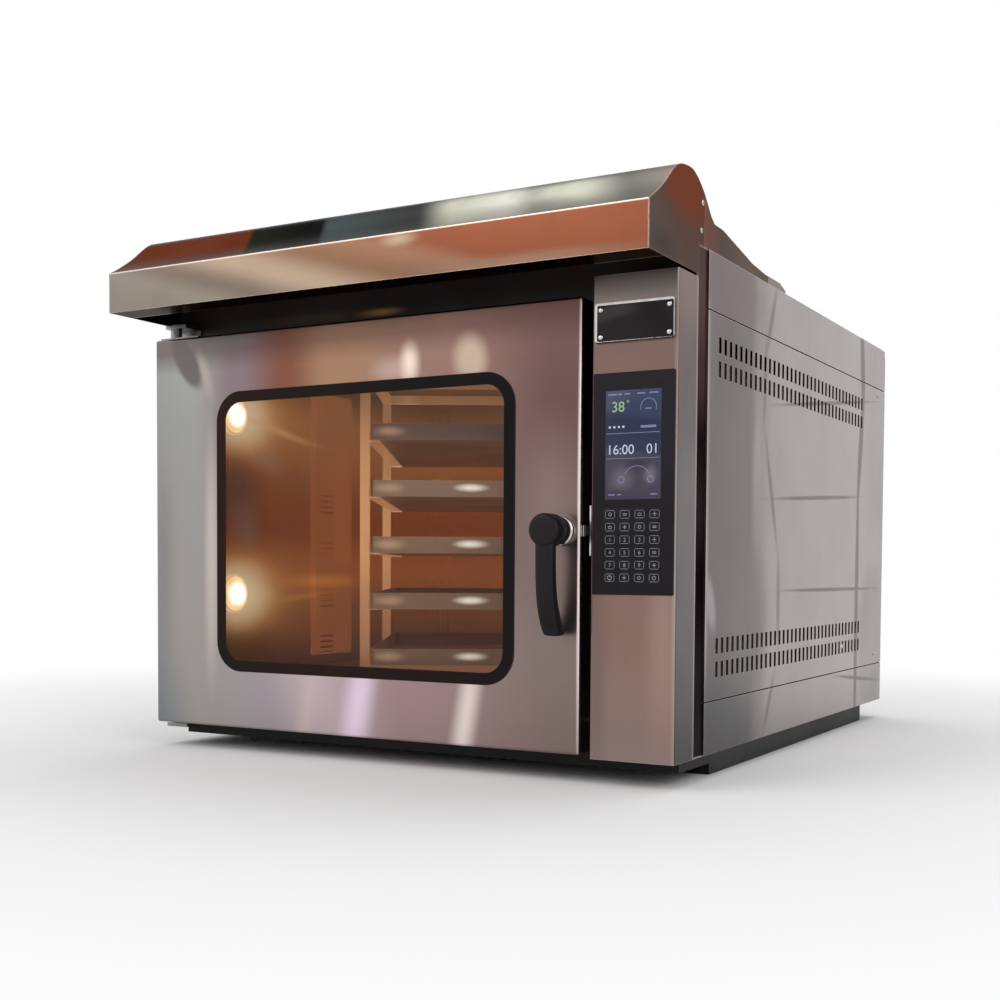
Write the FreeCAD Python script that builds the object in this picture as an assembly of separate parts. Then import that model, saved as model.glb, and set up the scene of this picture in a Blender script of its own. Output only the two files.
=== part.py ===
import FreeCAD, Part
import math
import os

# Countertop convection oven with a rotating tray rack, a side-hung glass door,
# a control column on the right and a steam hood over the front.
# Millimetres.  +Z is up, the front faces -Y, +X is to the right seen from the front.
# Built with the door's front face at y = 0, then moved so that the origin is the
# centre of the footprint, on the floor.

# ---- Driving sizes: trays and rack -----------------------------------------------------
tray_width = 400.0
tray_depth = 600.0
tray_height = 27.0
tray_sheet = 1.5
tray_count = 5
tray_pitch = 93.25
rack_turn = 30.0
turn_clearance = 19.4
post_size = 16.0
post_inset = 60.0
runner_sheet = 2.0
runner_width = 20.0
runner_side_gap = 3.0
rack_foot_gap = 14.0
first_tray_lift = 33.5
rack_head_gap = 60.25
shaft_radius = 10.0
running_gap = 0.05

# ---- Driving sizes: body ---------------------------------------------------------------
sheet = 1.5
liner_sheet = 1.2
left_wall = 42.5
service_width = 172.5
chamber_depth = 140.0
rear_service = 200.0
floor_height = 80.0
roof_height = 100.0
base_height = 38.0
base_front_height = 20.0
base_lead = 6.0
rail_width = 40.0
rail_inset = 17.5
rail_front = 185.0
rail_rear_inset = 94.0
side_upper_height = 84.0
side_lower_height = 78.0
side_seam = 2.0
corner_strip = 41.0
corner_recess = 2.5
return_flange = 13.0

# ---- Driving sizes: door ---------------------------------------------------------------
door_depth = 60.0
door_side_gap = 2.0
door_lift = 3.6
door_top_gap = 25.6
door_column_gap = 17.8
door_edge_radius = 4.0
frame_gap = 8.0
mouth_lip = 10.0
window_margin_left = 139.5
window_margin_right = 108.0
window_margin_low = 95.4
window_margin_high = 98.0
window_radius = 50.0
border_width = 18.5
border_proud = 1.5
border_lap = 6.0
window_neck = 6.0
window_spread = 58.0
window_rise = 8.0
glass_thickness = 5.0
hinge_inset = 11.5
hinge_depth = 40.0
hinge_pin_radius = 6.0
hinge_plate = 4.0
handle_inset = 29.0
handle_height = 330.5
lever_width = 30.0
lever_length = 153.5
spindle_radius = 6.0
cam_reach = 40.0
cam_thickness = 8.0
cam_front = 8.0

# ---- Driving sizes: control column -----------------------------------------------------
column_width = 131.7
column_drop = 47.4
column_depth = 73.0
panel_width = 124.5
panel_height = 315.0
panel_lift = 238.5
panel_thickness = 3.0
display_width = 85.5
display_height = 154.0
display_lift = 135.5
keypad_width = 91.5
keypad_height = 108.0
keypad_lift = 15.5
key_columns = 4
key_rows = 6
nameplate_width = 123.0
nameplate_height = 57.0
nameplate_lift = 596.0

# ---- Driving sizes: hood ---------------------------------------------------------------
hood_reach = 105.5
fascia_height = 65.6
fascia_lift = 4.7
hood_rise = 75.1
hood_back = 95.0
fairing_length = 270.0
low_cover_length = 107.0
low_cover_height = 12.0
filter_thickness = 6.0

# ---- Driving sizes: air, heat and drive ------------------------------------------------
fan_radius = 150.0
fan_width = 60.0
heater_tube = 5.0
heater_gap = 22.0
duct_width = 110.0
duct_depth = 13.0
lamp_radius = 30.0
flue_radius = 50.0
flue_height = 50.0
gear_teeth = 60
pinion_teeth = 15
gear_module = 3.0
gear_thickness = 10.0
pipe_projection = 40.0
drain_radius = 14.0
inlet_radius = 10.0
gland_radius = 7.0

# ---- Sizes worked out from the driving ones --------------------------------------------
sweep = math.hypot(tray_width / 2, tray_depth / 2)
cavity_half = sweep + turn_clearance
body_width = left_wall + 2 * cavity_half + service_width
half_width = body_width / 2
cavity_left = left_wall - half_width
cavity_right = cavity_left + 2 * cavity_half
rack_x = cavity_left + cavity_half
rack_y = door_depth + turn_clearance + sweep
baffle_y = rack_y + sweep + turn_clearance
chamber_rear = baffle_y + chamber_depth
body_depth = chamber_rear + rear_service
cavity_floor = base_height + floor_height
first_tray = cavity_floor + first_tray_lift
cavity_top = first_tray + tray_count * tray_pitch + rack_head_gap
body_top = cavity_top + roof_height
column_left = half_width - column_width
column_top = body_top - column_drop
column_mid = half_width - column_width / 2
door_left = door_side_gap - half_width
door_right = column_left - door_column_gap
door_low = base_height + door_lift
door_top = column_top - door_top_gap
frame_y = door_depth + frame_gap
frame_rear = frame_y + sheet
side_front = column_depth + corner_strip
side_inner = half_width - sheet
hood_low = column_top + fascia_lift
hood_shoulder = hood_low + fascia_height
fairing_end = hood_back + fairing_length
hinge_x = door_left + hinge_inset
handle_x = door_right - handle_inset
handle_z = base_height + handle_height
fan_z = (cavity_floor + cavity_top) / 2
fan_front = baffle_y + (chamber_depth - fan_width) / 2
fan_back = fan_front + fan_width
gear_distance = (gear_teeth + pinion_teeth) * gear_module / 2
footprint_mid = (body_depth + pipe_projection - hood_reach) / 2

# ---- Shape helpers ---------------------------------------------------------------------

straight = 0.9
punch = 4.0
press_gap = 0.02


def point(x, y, z):
    return FreeCAD.Vector(x, y, z)


def box(x0, x1, y0, y1, z0, z1):
    return Part.makeBox(x1 - x0, y1 - y0, z1 - z0, point(x0, y0, z0))


def rod(x, y, z, radius, length, axis):
    return Part.makeCylinder(radius, length, point(x, y, z), axis)


def along_x():
    return point(1, 0, 0)


def along_y():
    return point(0, 1, 0)


def along_z():
    return point(0, 0, 1)


def rounded_box(x0, x1, y0, y1, z0, z1, radius):
    """A slab facing the front, with its four corners rounded as seen from there."""
    slab = box(x0, x1, y0, y1, z0, z1)
    corners = [edge for edge in slab.Edges if abs(edge.tangentAt(edge.FirstParameter).y) > straight]
    return slab.makeFillet(radius, corners)


def ring(x0, x1, y0, y1, z0, z1, radius, width):
    """A rounded frame facing the front."""
    hole = rounded_box(x0 + width, x1 - width, y0 - 1, y1 + 1, z0 + width, z1 - width, radius - width)
    return rounded_box(x0, x1, y0, y1, z0, z1, radius).cut(hole)


def side_profile(points, x0, x1):
    """Extrude a closed outline, given as (y, z) points, from x0 to x1."""
    corners = [point(x0, y, z) for y, z in points]
    wire = Part.makePolygon(corners + [corners[0]])
    return Part.Face(wire).extrude(point(x1 - x0, 0, 0))


def fuse(shapes):
    return shapes[0].multiFuse(shapes[1:]).removeSplitter()


def drill(shape, cutters):
    return shape.cut(Part.makeCompound(cutters))


def save(name, shapes):
    """Write one sub-part, moved so that the footprint's centre is the origin."""
    solids = [solid for shape in shapes for solid in shape.Solids]
    body = solids[0] if len(solids) == 1 else Part.makeCompound(solids)
    moved = body.copy()
    moved.translate(point(0, -footprint_mid, 0))
    moved.exportStep(os.path.join("parts", name + ".step"))


# ---- Base ------------------------------------------------------------------------------


def make_base():
    rail_rear = body_depth - rail_rear_inset
    front_cross = frame_y - base_lead
    front_deep = front_cross + rail_width
    low = base_height - base_front_height
    outline = [
        (front_deep, low),
        (rail_front, low),
        (rail_front, 0),
        (rail_rear, 0),
        (rail_rear, base_height),
        (front_deep, base_height),
    ]
    outer = half_width - rail_inset
    right = side_profile(outline, outer - rail_width, outer)
    left = side_profile(outline, -outer, rail_width - outer)
    front = box(-outer, outer, front_cross, front_deep, low, base_height)
    cross_rear = rail_rear - rail_width
    rear = box(rail_width - outer, outer - rail_width, cross_rear - rail_width, cross_rear, 0, base_height)
    save("base_frame", [left, right, front, rear])
    pan = box(-side_inner, side_inner, frame_rear, body_depth - sheet, base_height, base_height + sheet)
    column_notch = box(column_left, half_width, frame_rear - 1, column_depth, base_height - 1, cavity_floor)
    save("bottom_pan", [pan.cut(column_notch)])


# ---- Outer panels ----------------------------------------------------------------------

vent_count = 36
vent_width = 11.0
vent_height = 24.0
vent_row_gap = 11.5
vent_inset = 50.0
vent_rear_inset = 185.0
vent_drop = 35.0
vent_rise = 35.5
rear_corner_radius = 25.0


def vent_cutters(z_low):
    start = side_front + vent_inset
    pitch = (body_depth - vent_rear_inset - start) / (vent_count - 1)
    x0 = side_inner - 1
    x1 = half_width + 1
    fronts = [start + i * pitch - vent_width / 2 for i in range(vent_count)]
    return [box(x0, x1, y, y + vent_width, z_low, z_low + vent_height) for y in fronts]


def side_plate(z0, z1):
    skin = box(side_inner, half_width, side_front, body_depth, z0, z1)
    flange = box(
        half_width - return_flange, half_width, side_front, side_front + sheet, z0 + sheet, z1 - sheet
    )
    return fuse([skin, flange])


def make_sides():
    seam_low = base_height + side_lower_height
    seam_high = body_top - side_upper_height
    row_step = vent_height + vent_row_gap
    middle = side_plate(seam_low + side_seam, seam_high - side_seam)
    top_row = seam_high - vent_drop - vent_height
    low_row = seam_low + vent_rise
    rows = [top_row, top_row - row_step, low_row, low_row + row_step]
    cutters = [cutter for z in rows for cutter in vent_cutters(z)]
    save("side_right_middle", [drill(middle, cutters)])
    save("side_right_lower", [side_plate(base_height, seam_low)])
    upper = side_plate(seam_high, body_top)
    corner = [
        edge
        for edge in upper.Edges
        if abs(edge.tangentAt(edge.FirstParameter).x) > straight
        and edge.CenterOfMass.y > body_depth - 1
        and edge.CenterOfMass.z > body_top - 1
    ]
    save("side_right_upper", [upper.makeFillet(rear_corner_radius, corner)])
    left = box(-half_width, -side_inner, side_front, body_depth, base_height, body_top)
    left_flange = box(
        -half_width, return_flange - half_width, side_front, side_front + sheet,
        base_height + sheet, body_top - sheet,
    )
    save("side_left", [fuse([left, left_flange])])


def corner_post(x_outer, x_inner, y_front):
    low = base_height + sheet
    high = body_top - sheet
    x0 = min(x_outer, x_inner)
    x1 = max(x_outer, x_inner)
    return box(x0, x1, y_front, side_front, low, high)


def make_frame_posts():
    outer = half_width - corner_recess
    inner = outer - return_flange
    right = corner_post(outer, inner, column_depth)
    left = corner_post(-outer, -inner, frame_rear)
    save("corner_posts", [left, right])


rear_louvre_count = 9
rear_louvre_length = 150.0
rear_louvre_height = 6.0
rear_louvre_pitch = 18.0
rear_inset = 18.0


def make_rear_and_top():
    rear = box(-side_inner, side_inner, body_depth - sheet, body_depth, base_height, body_top - sheet)
    y0 = body_depth - sheet - 1
    y1 = body_depth + 1
    cutters = []
    for column_x in (fan_louvre_left(), fan_louvre_right()):
        for i in range(rear_louvre_count):
            z = fan_z + (i - (rear_louvre_count - 1) / 2) * rear_louvre_pitch
            cutters.append(box(column_x, column_x + rear_louvre_length, y0, y1, z, z + rear_louvre_height))
    cutters.append(rod(drain_x(), y0, drain_z(), drain_run() + running_gap, sheet + 2, along_y()))
    cutters.append(rod(inlet_x(), y0, inlet_z(), inlet_radius + running_gap, sheet + 2, along_y()))
    cutters.append(rod(gland_x(), y0, gland_z(), gland_body() + running_gap, sheet + 2, along_y()))
    save("rear_cover", [drill(rear, cutters)])
    top = box(-side_inner, side_inner, frame_rear, body_depth, body_top - sheet, body_top)
    flue_hole = rod(rack_x, flue_y(), body_top - sheet - 1, flue_radius + running_gap, sheet + 2, along_z())
    save("top_cover", [top.cut(flue_hole)])


def fan_louvre_left():
    return rack_x - rear_louvre_length - rear_inset


def fan_louvre_right():
    return rack_x + rear_inset


def flue_y():
    return (rack_y + chamber_rear) / 2


# ---- Front frame, gasket and door furniture on the casing ------------------------------

gasket_width = 12.0
gasket_squash_gap = 0.4
keeper_height = 72.0
keeper_front = 0.5
keeper_thickness = 2.5
switch_radius = 5.0
switch_lift = 51.0
switch_length = 22.0


def make_front_frame():
    mouth_left = cavity_left + mouth_lip
    mouth_right = cavity_right - mouth_lip
    mouth_low = cavity_floor + mouth_lip
    mouth_high = cavity_top - mouth_lip
    right_end = column_left + sheet
    left = box(-side_inner, mouth_left, frame_y, frame_rear, mouth_low, mouth_high)
    right = box(mouth_right, right_end, frame_y, frame_rear, mouth_low, mouth_high)
    sill = box(-side_inner, right_end, frame_y, frame_rear, base_height, mouth_low)
    head = box(-side_inner, right_end, frame_y, frame_rear, mouth_high, body_top)
    head_right = box(right_end, side_inner, frame_y, frame_rear, column_top, body_top)
    save("front_frame", [left, right, sill, head, head_right])
    y0 = door_depth + gasket_squash_gap
    wide = gasket_width
    seal_left = box(mouth_left - wide, mouth_left, y0, frame_y, mouth_low, mouth_high)
    seal_right = box(mouth_right, mouth_right + wide, y0, frame_y, mouth_low, mouth_high)
    seal_low = box(mouth_left - wide, mouth_right + wide, y0, frame_y, mouth_low - wide, mouth_low)
    seal_high = box(mouth_left - wide, mouth_right + wide, y0, frame_y, mouth_high, mouth_high + wide)
    save("door_gasket", [seal_left, seal_right, seal_low, seal_high])


def make_latch_keeper():
    z0 = handle_z - keeper_height / 2
    plate = box(
        column_left - keeper_thickness, column_left, keeper_front, door_depth, z0, z0 + keeper_height
    )
    save("keeper_plate", [plate])
    switch_x = (door_right + column_left) / 2
    switch_z = base_height + switch_lift
    stud = rod(switch_x, frame_y - switch_length, switch_z, switch_radius, switch_length, along_y())
    save("door_switch", [stud])


hinge_arm_width = 46.0
hinge_arm_front = 26.0
hinge_arm_thickness = 6.0
hinge_post_height = 19.0
hinge_gap = 0.4
hinge_boss_radius = 10.0
hinge_back_plate = 4.0
hinge_pin_reach = 12.0


def make_hinge_brackets():
    x0 = -side_inner
    x1 = x0 + hinge_arm_width
    boss_low = door_top + hinge_plate + hinge_gap
    arm_low = boss_low + hinge_post_height
    arm_high = arm_low + hinge_arm_thickness
    arm = box(x0, x1, hinge_arm_front, frame_y, arm_low, arm_high)
    back = box(x0, x1, frame_y - hinge_back_plate, frame_y, boss_low, arm_high)
    boss = rod(hinge_x, hinge_depth, boss_low, hinge_boss_radius, hinge_post_height, along_z())
    pin_low = door_top - hinge_pin_reach
    pin = rod(hinge_x, hinge_depth, pin_low, hinge_pin_radius, arm_high - pin_low, along_z())
    upper = fuse([arm, back, boss, pin])
    foot_high = base_height - 1
    foot = box(x0, x1, hinge_arm_front, frame_y - base_lead, foot_high - hinge_arm_thickness, foot_high)
    washer_high = door_low - hinge_gap
    washer = rod(hinge_x, hinge_depth, foot_high, hinge_boss_radius, washer_high - foot_high, along_z())
    low_reach = door_low + hinge_pin_reach - foot_high
    low_pin = rod(hinge_x, hinge_depth, foot_high, hinge_pin_radius, low_reach, along_z())
    save("hinge_brackets", [upper, fuse([foot, washer, low_pin])])


# ---- Control column --------------------------------------------------------------------

column_edge_radius = 3.0
column_flange = 14.0
key_width = 15.0
key_depth = 0.5
key_height = 11.5
key_corner = 1.5
panel_corner = 2.0
display_proud = 0.4
keypad_proud = 0.3
nameplate_rim = 4.0
nameplate_rim_proud = 3.0
nameplate_plate_proud = 2.0
nameplate_stud_proud = 1.5
nameplate_stud_radius = 4.0


def make_control_column():
    outer = box(column_left, half_width, 0, column_depth, base_height, column_top)
    front_edges = [
        edge
        for edge in outer.Edges
        if abs(edge.tangentAt(edge.FirstParameter).z) > straight and edge.CenterOfMass.y < 1
    ]
    outer = outer.makeFillet(column_edge_radius, front_edges)
    inner = box(
        column_left + sheet, side_inner, sheet, column_depth + 1, base_height + sheet, column_top - sheet
    )
    left_trim = box(
        column_left - 1, column_left + sheet, frame_y, column_depth + 1, base_height - 1, column_top + 1
    )
    flange = box(
        side_inner - column_flange, side_inner, column_depth - sheet, column_depth,
        base_height + sheet, column_top - sheet,
    )
    save("control_column", [fuse([outer.cut(inner).cut(left_trim), flange])])


def face_plate(width, height, z_low, y_back, thickness, radius):
    x0 = column_mid - width / 2
    return rounded_box(x0, x0 + width, y_back - thickness, y_back, z_low, z_low + height, radius)


def make_controls():
    panel_low = base_height + panel_lift
    glass = face_plate(panel_width, panel_height, panel_low, 0, panel_thickness, panel_corner)
    save("control_glass", [glass])
    display_low = panel_low + display_lift
    front = -panel_thickness
    screen = face_plate(display_width, display_height, display_low, front, display_proud, key_corner)
    save("display", [screen])
    keypad_low = panel_low + keypad_lift
    membrane = face_plate(keypad_width, keypad_height, keypad_low, front, keypad_proud, panel_corner)
    save("keypad", [membrane] + keys(keypad_low, front - keypad_proud))


def keys(keypad_low, y_back):
    step_x = keypad_width / key_columns
    step_z = keypad_height / key_rows
    left = column_mid - keypad_width / 2
    made = []
    for column in range(key_columns):
        for row in range(key_rows):
            x = left + (column + 0.5) * step_x
            z = keypad_low + (row + 0.5) * step_z
            made.append(
                rounded_box(
                    x - key_width / 2, x + key_width / 2, y_back - key_depth, y_back,
                    z - key_height / 2, z + key_height / 2, key_corner,
                )
            )
    return made


def make_nameplate():
    low = base_height + nameplate_lift
    x0 = column_mid - nameplate_width / 2
    x1 = x0 + nameplate_width
    high = low + nameplate_height
    rim = ring(x0, x1, -nameplate_rim_proud, 0, low, high, nameplate_rim + 1, nameplate_rim)
    gap = nameplate_rim + running_gap
    plate = rounded_box(x0 + gap, x1 - gap, -nameplate_plate_proud, 0, low + gap, high - gap, 1.0)
    stud_front = -nameplate_plate_proud - nameplate_stud_proud
    inset = nameplate_rim + nameplate_stud_radius + 1
    studs = [
        rod(x, stud_front, z, nameplate_stud_radius, nameplate_stud_proud, along_y())
        for x in (x0 + inset, x1 - inset)
        for z in (low + inset, high - inset)
    ]
    save("nameplate", [rim, plate] + studs)


# ---- Hood ------------------------------------------------------------------------------

hood_curve = (
    (0, 0), (0.12, 0.185), (0.3, 0.53), (0.5, 0.92), (0.64, 1.0), (0.77, 1.0), (0.88, 0.89), (1, 0.68),
)
hood_curve_samples = 28
hood_run_on = 6.0
hood_lip = 52.0
filter_front = 30.0
filter_slot_count = 38
filter_slot_width = 8.0
filter_border = 14.0


def hood_points():
    length = hood_back + hood_reach
    return [(length * along - hood_reach, hood_shoulder + hood_rise * up) for along, up in hood_curve]


def spline(points, x):
    curve = Part.BSplineCurve()
    curve.interpolate([point(x, y, z) for y, z in points])
    return curve


def inner_hood_points():
    """The hood's curve moved inwards by the sheet, and run on past its rear edge."""
    curve = spline(hood_points(), 0)
    first, last = curve.FirstParameter, curve.LastParameter
    moved = []
    for i in range(hood_curve_samples + 1):
        at = first + (last - first) * i / hood_curve_samples
        way = point(*curve.tangent(at)[0])
        way.normalize()
        here = curve.value(at)
        moved.append((here.y + way.z * sheet, here.z - way.y * sheet))
    moved[0] = (sheet - hood_reach, moved[0][1])
    moved.append((moved[-1][0] + way.y * hood_run_on, moved[-1][1] + way.z * hood_run_on))
    return moved


def hood_prism(top_points, foot, x0, x1):
    """A solid under the hood's curve, closed by straight lines through the foot points."""
    curve = spline(top_points, x0).toShape()
    corners = [top_points[-1]] + foot + [top_points[0]]
    lines = [
        Part.LineSegment(point(x0, *a), point(x0, *b)).toShape() for a, b in zip(corners[:-1], corners[1:])
    ]
    face = Part.Face(Part.Wire([curve] + lines))
    return face.extrude(point(x1 - x0, 0, 0))


def make_hood():
    width = side_inner
    foot = [(hood_back, hood_low), (-hood_reach, hood_low)]
    outer = hood_prism(hood_points(), foot, -width, width)
    inner_curve = inner_hood_points()
    inner_foot = [(inner_curve[-1][0], hood_low - 1), (sheet - hood_reach, hood_low - 1)]
    inner = hood_prism(inner_curve, inner_foot, -width - 1, width + 1)
    flange = box(-width, width, -hood_reach, hood_lip - hood_reach, hood_low, hood_low + sheet)
    save("hood_skin", [fuse([outer.cut(inner), flange])])
    end_foot = [
        (hood_back, body_top),
        (column_depth, body_top),
        (column_depth, hood_low),
        (-hood_reach, hood_low),
    ]
    right = hood_prism(hood_points(), end_foot, side_inner, half_width)
    left = hood_prism(hood_points(), end_foot, -half_width, -side_inner)
    save("hood_ends", [left, right])


def make_filter():
    panel = box(
        -side_inner, side_inner, -filter_front, frame_y, body_top - filter_thickness, body_top
    )
    pitch = 2 * side_inner / (filter_slot_count + 1)
    slots = [
        box(
            i * pitch - side_inner - filter_slot_width / 2, i * pitch - side_inner + filter_slot_width / 2,
            filter_border - filter_front, frame_y - filter_border,
            body_top - filter_thickness - 1, body_top + 1,
        )
        for i in range(1, filter_slot_count + 1)
    ]
    save("hood_filter", [drill(panel, slots)])


fairing_curve = ((0.096, 0.66), (0.148, 0.55), (0.278, 0.54), (0.77, 0.23))
low_cover_slope = 30.0
low_cover_lip = 4.0


def hollow_cover(points):
    """A sheet cover, open underneath, standing on the body's top."""
    outer = side_profile(points, -half_width, half_width)
    corners = [point(-side_inner, y, z) for y, z in points]
    wire = Part.makePolygon(corners + [corners[0]])
    shrunk = Part.Face(wire.makeOffset2D(-sheet)).extrude(point(2 * side_inner, 0, 0))
    y0 = points[0][0] + sheet
    y1 = points[-1][0] - sheet
    mouth = box(-side_inner, side_inner, y0, y1, body_top - 1, body_top + sheet + 1)
    return outer.cut(shrunk).cut(mouth)


def make_top_covers():
    y0 = hood_back
    high = hood_shoulder + hood_rise * hood_curve[-1][1]
    step = high - body_top
    slope = [(y0 + fairing_length * along, body_top + step * up) for along, up in fairing_curve]
    end = [(fairing_end, body_top + low_cover_height), (fairing_end, body_top)]
    fairing = [(y0, body_top), (y0, high)] + slope + end
    low_end = fairing_end + low_cover_length
    low_cover = [
        (fairing_end, body_top),
        (fairing_end, body_top + low_cover_height),
        (low_end - low_cover_slope, body_top + low_cover_height),
        (low_end, body_top + low_cover_lip),
        (low_end, body_top),
    ]
    save("top_fairing", [hollow_cover(fairing), hollow_cover(low_cover)])


# ---- Cavity ----------------------------------------------------------------------------

grille_radius = 110.0
grille_slot = 9.0
grille_pitch = 18.0
outlet_slot_width = 12.0
outlet_slot_height = 90.0
outlet_slot_count = 4
duct_slot_count = 4
duct_slot_height = 5.0
duct_slot_length = 46.0
duct_end_gap = 22.0
lamp_front_gap = 86.0
lamp_depth = 12.0
lamp_rim = 5.0
lamp_low_rise = 113.0
lamp_high_rise = 65.0
lens_edge = 4.0
outlet_insets = (20.0, 45.0)
duct_rear_extra = 10.0
duct_slot_inset = 14.0
duct_slot_pitch = 11.0
shaft_hole_gap = 4.0


def make_liner():
    left = box(cavity_left - liner_sheet, cavity_left, frame_rear, chamber_rear, cavity_floor, cavity_top)
    right = box(cavity_right, cavity_right + liner_sheet, frame_rear, chamber_rear, cavity_floor, cavity_top)
    save("liner_walls", [left, right])
    x0 = cavity_left - liner_sheet
    x1 = cavity_right + liner_sheet
    floor = box(x0, x1, frame_rear, chamber_rear, cavity_floor - liner_sheet, cavity_floor)
    drain_hole = rod(drain_x(), drain_y(), cavity_floor - 2, drain_bore(), punch, along_z())
    save("liner_floor", [floor.cut(drain_hole)])
    ceiling = box(x0, x1, frame_rear, chamber_rear, cavity_top, cavity_top + liner_sheet)
    holes = [
        rod(rack_x, rack_y, cavity_top - 1, shaft_radius + 1, punch, along_z()),
        rod(rack_x, flue_y(), cavity_top - 1, flue_radius + running_gap, punch, along_z()),
    ]
    save("liner_ceiling", [drill(ceiling, holes)])
    rear = box(
        x0, x1, chamber_rear, chamber_rear + liner_sheet, cavity_floor - liner_sheet, cavity_top + liner_sheet
    )
    shaft_hole = rod(rack_x, chamber_rear - 1, fan_z, fan_shaft_radius + shaft_hole_gap, punch, along_y())
    save("liner_rear", [rear.cut(shaft_hole)])


def make_baffle():
    plate = box(cavity_left, cavity_right, baffle_y, baffle_y + liner_sheet, cavity_floor, cavity_top)
    y0 = baffle_y - 1
    y1 = baffle_y + liner_sheet + 1
    rows = int(grille_radius // grille_pitch)
    cutters = []
    for row in range(-rows, rows + 1):
        z = fan_z + row * grille_pitch
        half = math.sqrt(grille_radius**2 - (row * grille_pitch) ** 2)
        cutters.append(box(rack_x - half, rack_x + half, y0, y1, z - grille_slot / 2, z + grille_slot / 2))
    rise = (cavity_top - cavity_floor) / outlet_slot_count
    for inset in outlet_insets:
        for i in range(outlet_slot_count):
            z = cavity_floor + (i + 0.5) * rise - outlet_slot_height / 2
            for x in (cavity_left + inset, cavity_right - inset - outlet_slot_width):
                cutters.append(box(x, x + outlet_slot_width, y0, y1, z, z + outlet_slot_height))
    save("fan_baffle", [drill(plate, cutters)])


def tray_low(level):
    return first_tray + level * tray_pitch


def make_duct():
    y0 = rack_y - duct_width / 2
    y1 = rack_y + duct_width / 2 + duct_rear_extra
    x1 = cavity_left + duct_depth
    low = cavity_floor + duct_end_gap
    high = cavity_top - duct_end_gap
    slot = y0 + duct_slot_inset
    shell = box(cavity_left, x1, y0, y1, low, high)
    inside = box(cavity_left - 1, x1 - sheet, y0 + sheet, y1 - sheet, low + sheet, high - sheet)
    cutters = [inside]
    for level in range(tray_count):
        for i in range(duct_slot_count):
            z = tray_low(level) + (i - 1) * duct_slot_pitch
            cutters.append(
                box(x1 - sheet - 1, x1 + 1, slot, slot + duct_slot_length, z, z + duct_slot_height)
            )
    save("air_duct", [drill(shell, cutters)])


def make_lamps():
    y = frame_rear + lamp_front_gap
    made = []
    for z in (tray_low(0) + lamp_low_rise, tray_low(tray_count - 1) + lamp_high_rise):
        rim = rod(cavity_left, y, z, lamp_radius + lamp_rim, lamp_depth / 2, along_x())
        bore = rod(cavity_left - 1, y, z, lamp_radius, lamp_depth, along_x())
        lens = rod(cavity_left, y, z, lamp_radius - running_gap, lamp_depth, along_x())
        made += [rim.cut(bore), lens.makeFillet(lens_edge, [lens.Edges[0]])]
    save("lamps", made)


# ---- Fan, heater and their motor -------------------------------------------------------

fan_shaft_radius = 8.0
fan_blades = 14
fan_sheet = 2.0
fan_plate = 5.0
blade_inner = 95.0
fan_hub_radius = 22.0
motor_radius = 60.0
motor_length = 100.0
motor_neck_radius = 40.0
wall_slab = 40.0
heater_count = 3
slab_gap = 0.5
fan_hub_setback = 20.0
fan_eye_gap = 15.0
blade_angle = 35.0
shaft_in_motor = 40.0
motor_bore_depth = 46.0
motor_gap = 3.0
neck_wall = 8.0
heater_ring_gap = 4.0
heater_leg_start = 200.0
heater_leg_step = 40.0
heater_leg_spread = 12.0
heater_leg_slack = 0.2


def make_fan():
    back = rod(rack_x, fan_back - fan_plate, fan_z, fan_radius, fan_plate, along_y())
    front_disc = rod(rack_x, fan_front, fan_z, fan_radius, fan_sheet, along_y())
    eye = rod(rack_x, fan_front - 1, fan_z, blade_inner + fan_eye_gap, fan_sheet + 2, along_y())
    front = front_disc.cut(eye)
    hub_front = fan_front + fan_hub_setback
    hub = rod(rack_x, hub_front, fan_z, fan_hub_radius, fan_back - hub_front, along_y())
    shaft_length = motor_front() + shaft_in_motor - fan_back
    shaft = rod(rack_x, fan_back - 1, fan_z, fan_shaft_radius, shaft_length, along_y())
    blades = []
    for i in range(fan_blades):
        blade = box(
            rack_x + blade_inner, rack_x + fan_radius - 1, fan_front, fan_back - 1,
            fan_z - fan_sheet / 2, fan_z + fan_sheet / 2,
        )
        blade.rotate(point(rack_x + blade_inner, fan_front, fan_z), along_y(), blade_angle)
        blade = blade.common(rod(rack_x, fan_front, fan_z, fan_radius - 0.5, fan_width, along_y()))
        blade.rotate(point(rack_x, fan_front, fan_z), along_y(), 360.0 * i / fan_blades)
        blades.append(blade)
    save("fan_wheel", [fuse([back, front, hub, shaft] + blades)])


def motor_front():
    return chamber_rear + liner_sheet + wall_slab + motor_gap


def make_fan_motor():
    neck_front = chamber_rear + liner_sheet
    length = motor_front() - neck_front
    tube = rod(rack_x, neck_front, fan_z, motor_neck_radius, length, along_y())
    neck = tube.cut(rod(rack_x, neck_front - 1, fan_z, motor_neck_radius - neck_wall, length + 1, along_y()))
    body = rod(rack_x, motor_front(), fan_z, motor_radius, motor_length, along_y())
    bore = rod(rack_x, motor_front() - 1, fan_z, fan_shaft_radius + running_gap, motor_bore_depth, along_y())
    save("fan_motor", [fuse([neck, body.cut(bore)])])


def make_heater():
    made = []
    for i in range(heater_count):
        ring_radius = fan_radius + heater_gap + i * (2 * heater_tube + heater_ring_gap)
        y = fan_front + heater_tube + i * (fan_width - 2 * heater_tube) / (heater_count - 1)
        turns = Part.makeTorus(ring_radius, heater_tube, point(rack_x, y, fan_z), along_y())
        legs = []
        for side in (0, heater_leg_spread):
            angle = math.radians(heater_leg_start + heater_leg_step * i + side)
            x = rack_x + ring_radius * math.cos(angle)
            z = fan_z + ring_radius * math.sin(angle)
            legs.append(rod(x, y, z, heater_tube - heater_leg_slack, chamber_rear - y, along_y()))
        made.append(fuse([turns] + legs))
    save("heater_rings", made)


# ---- Rack drive on the ceiling ---------------------------------------------------------

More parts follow.
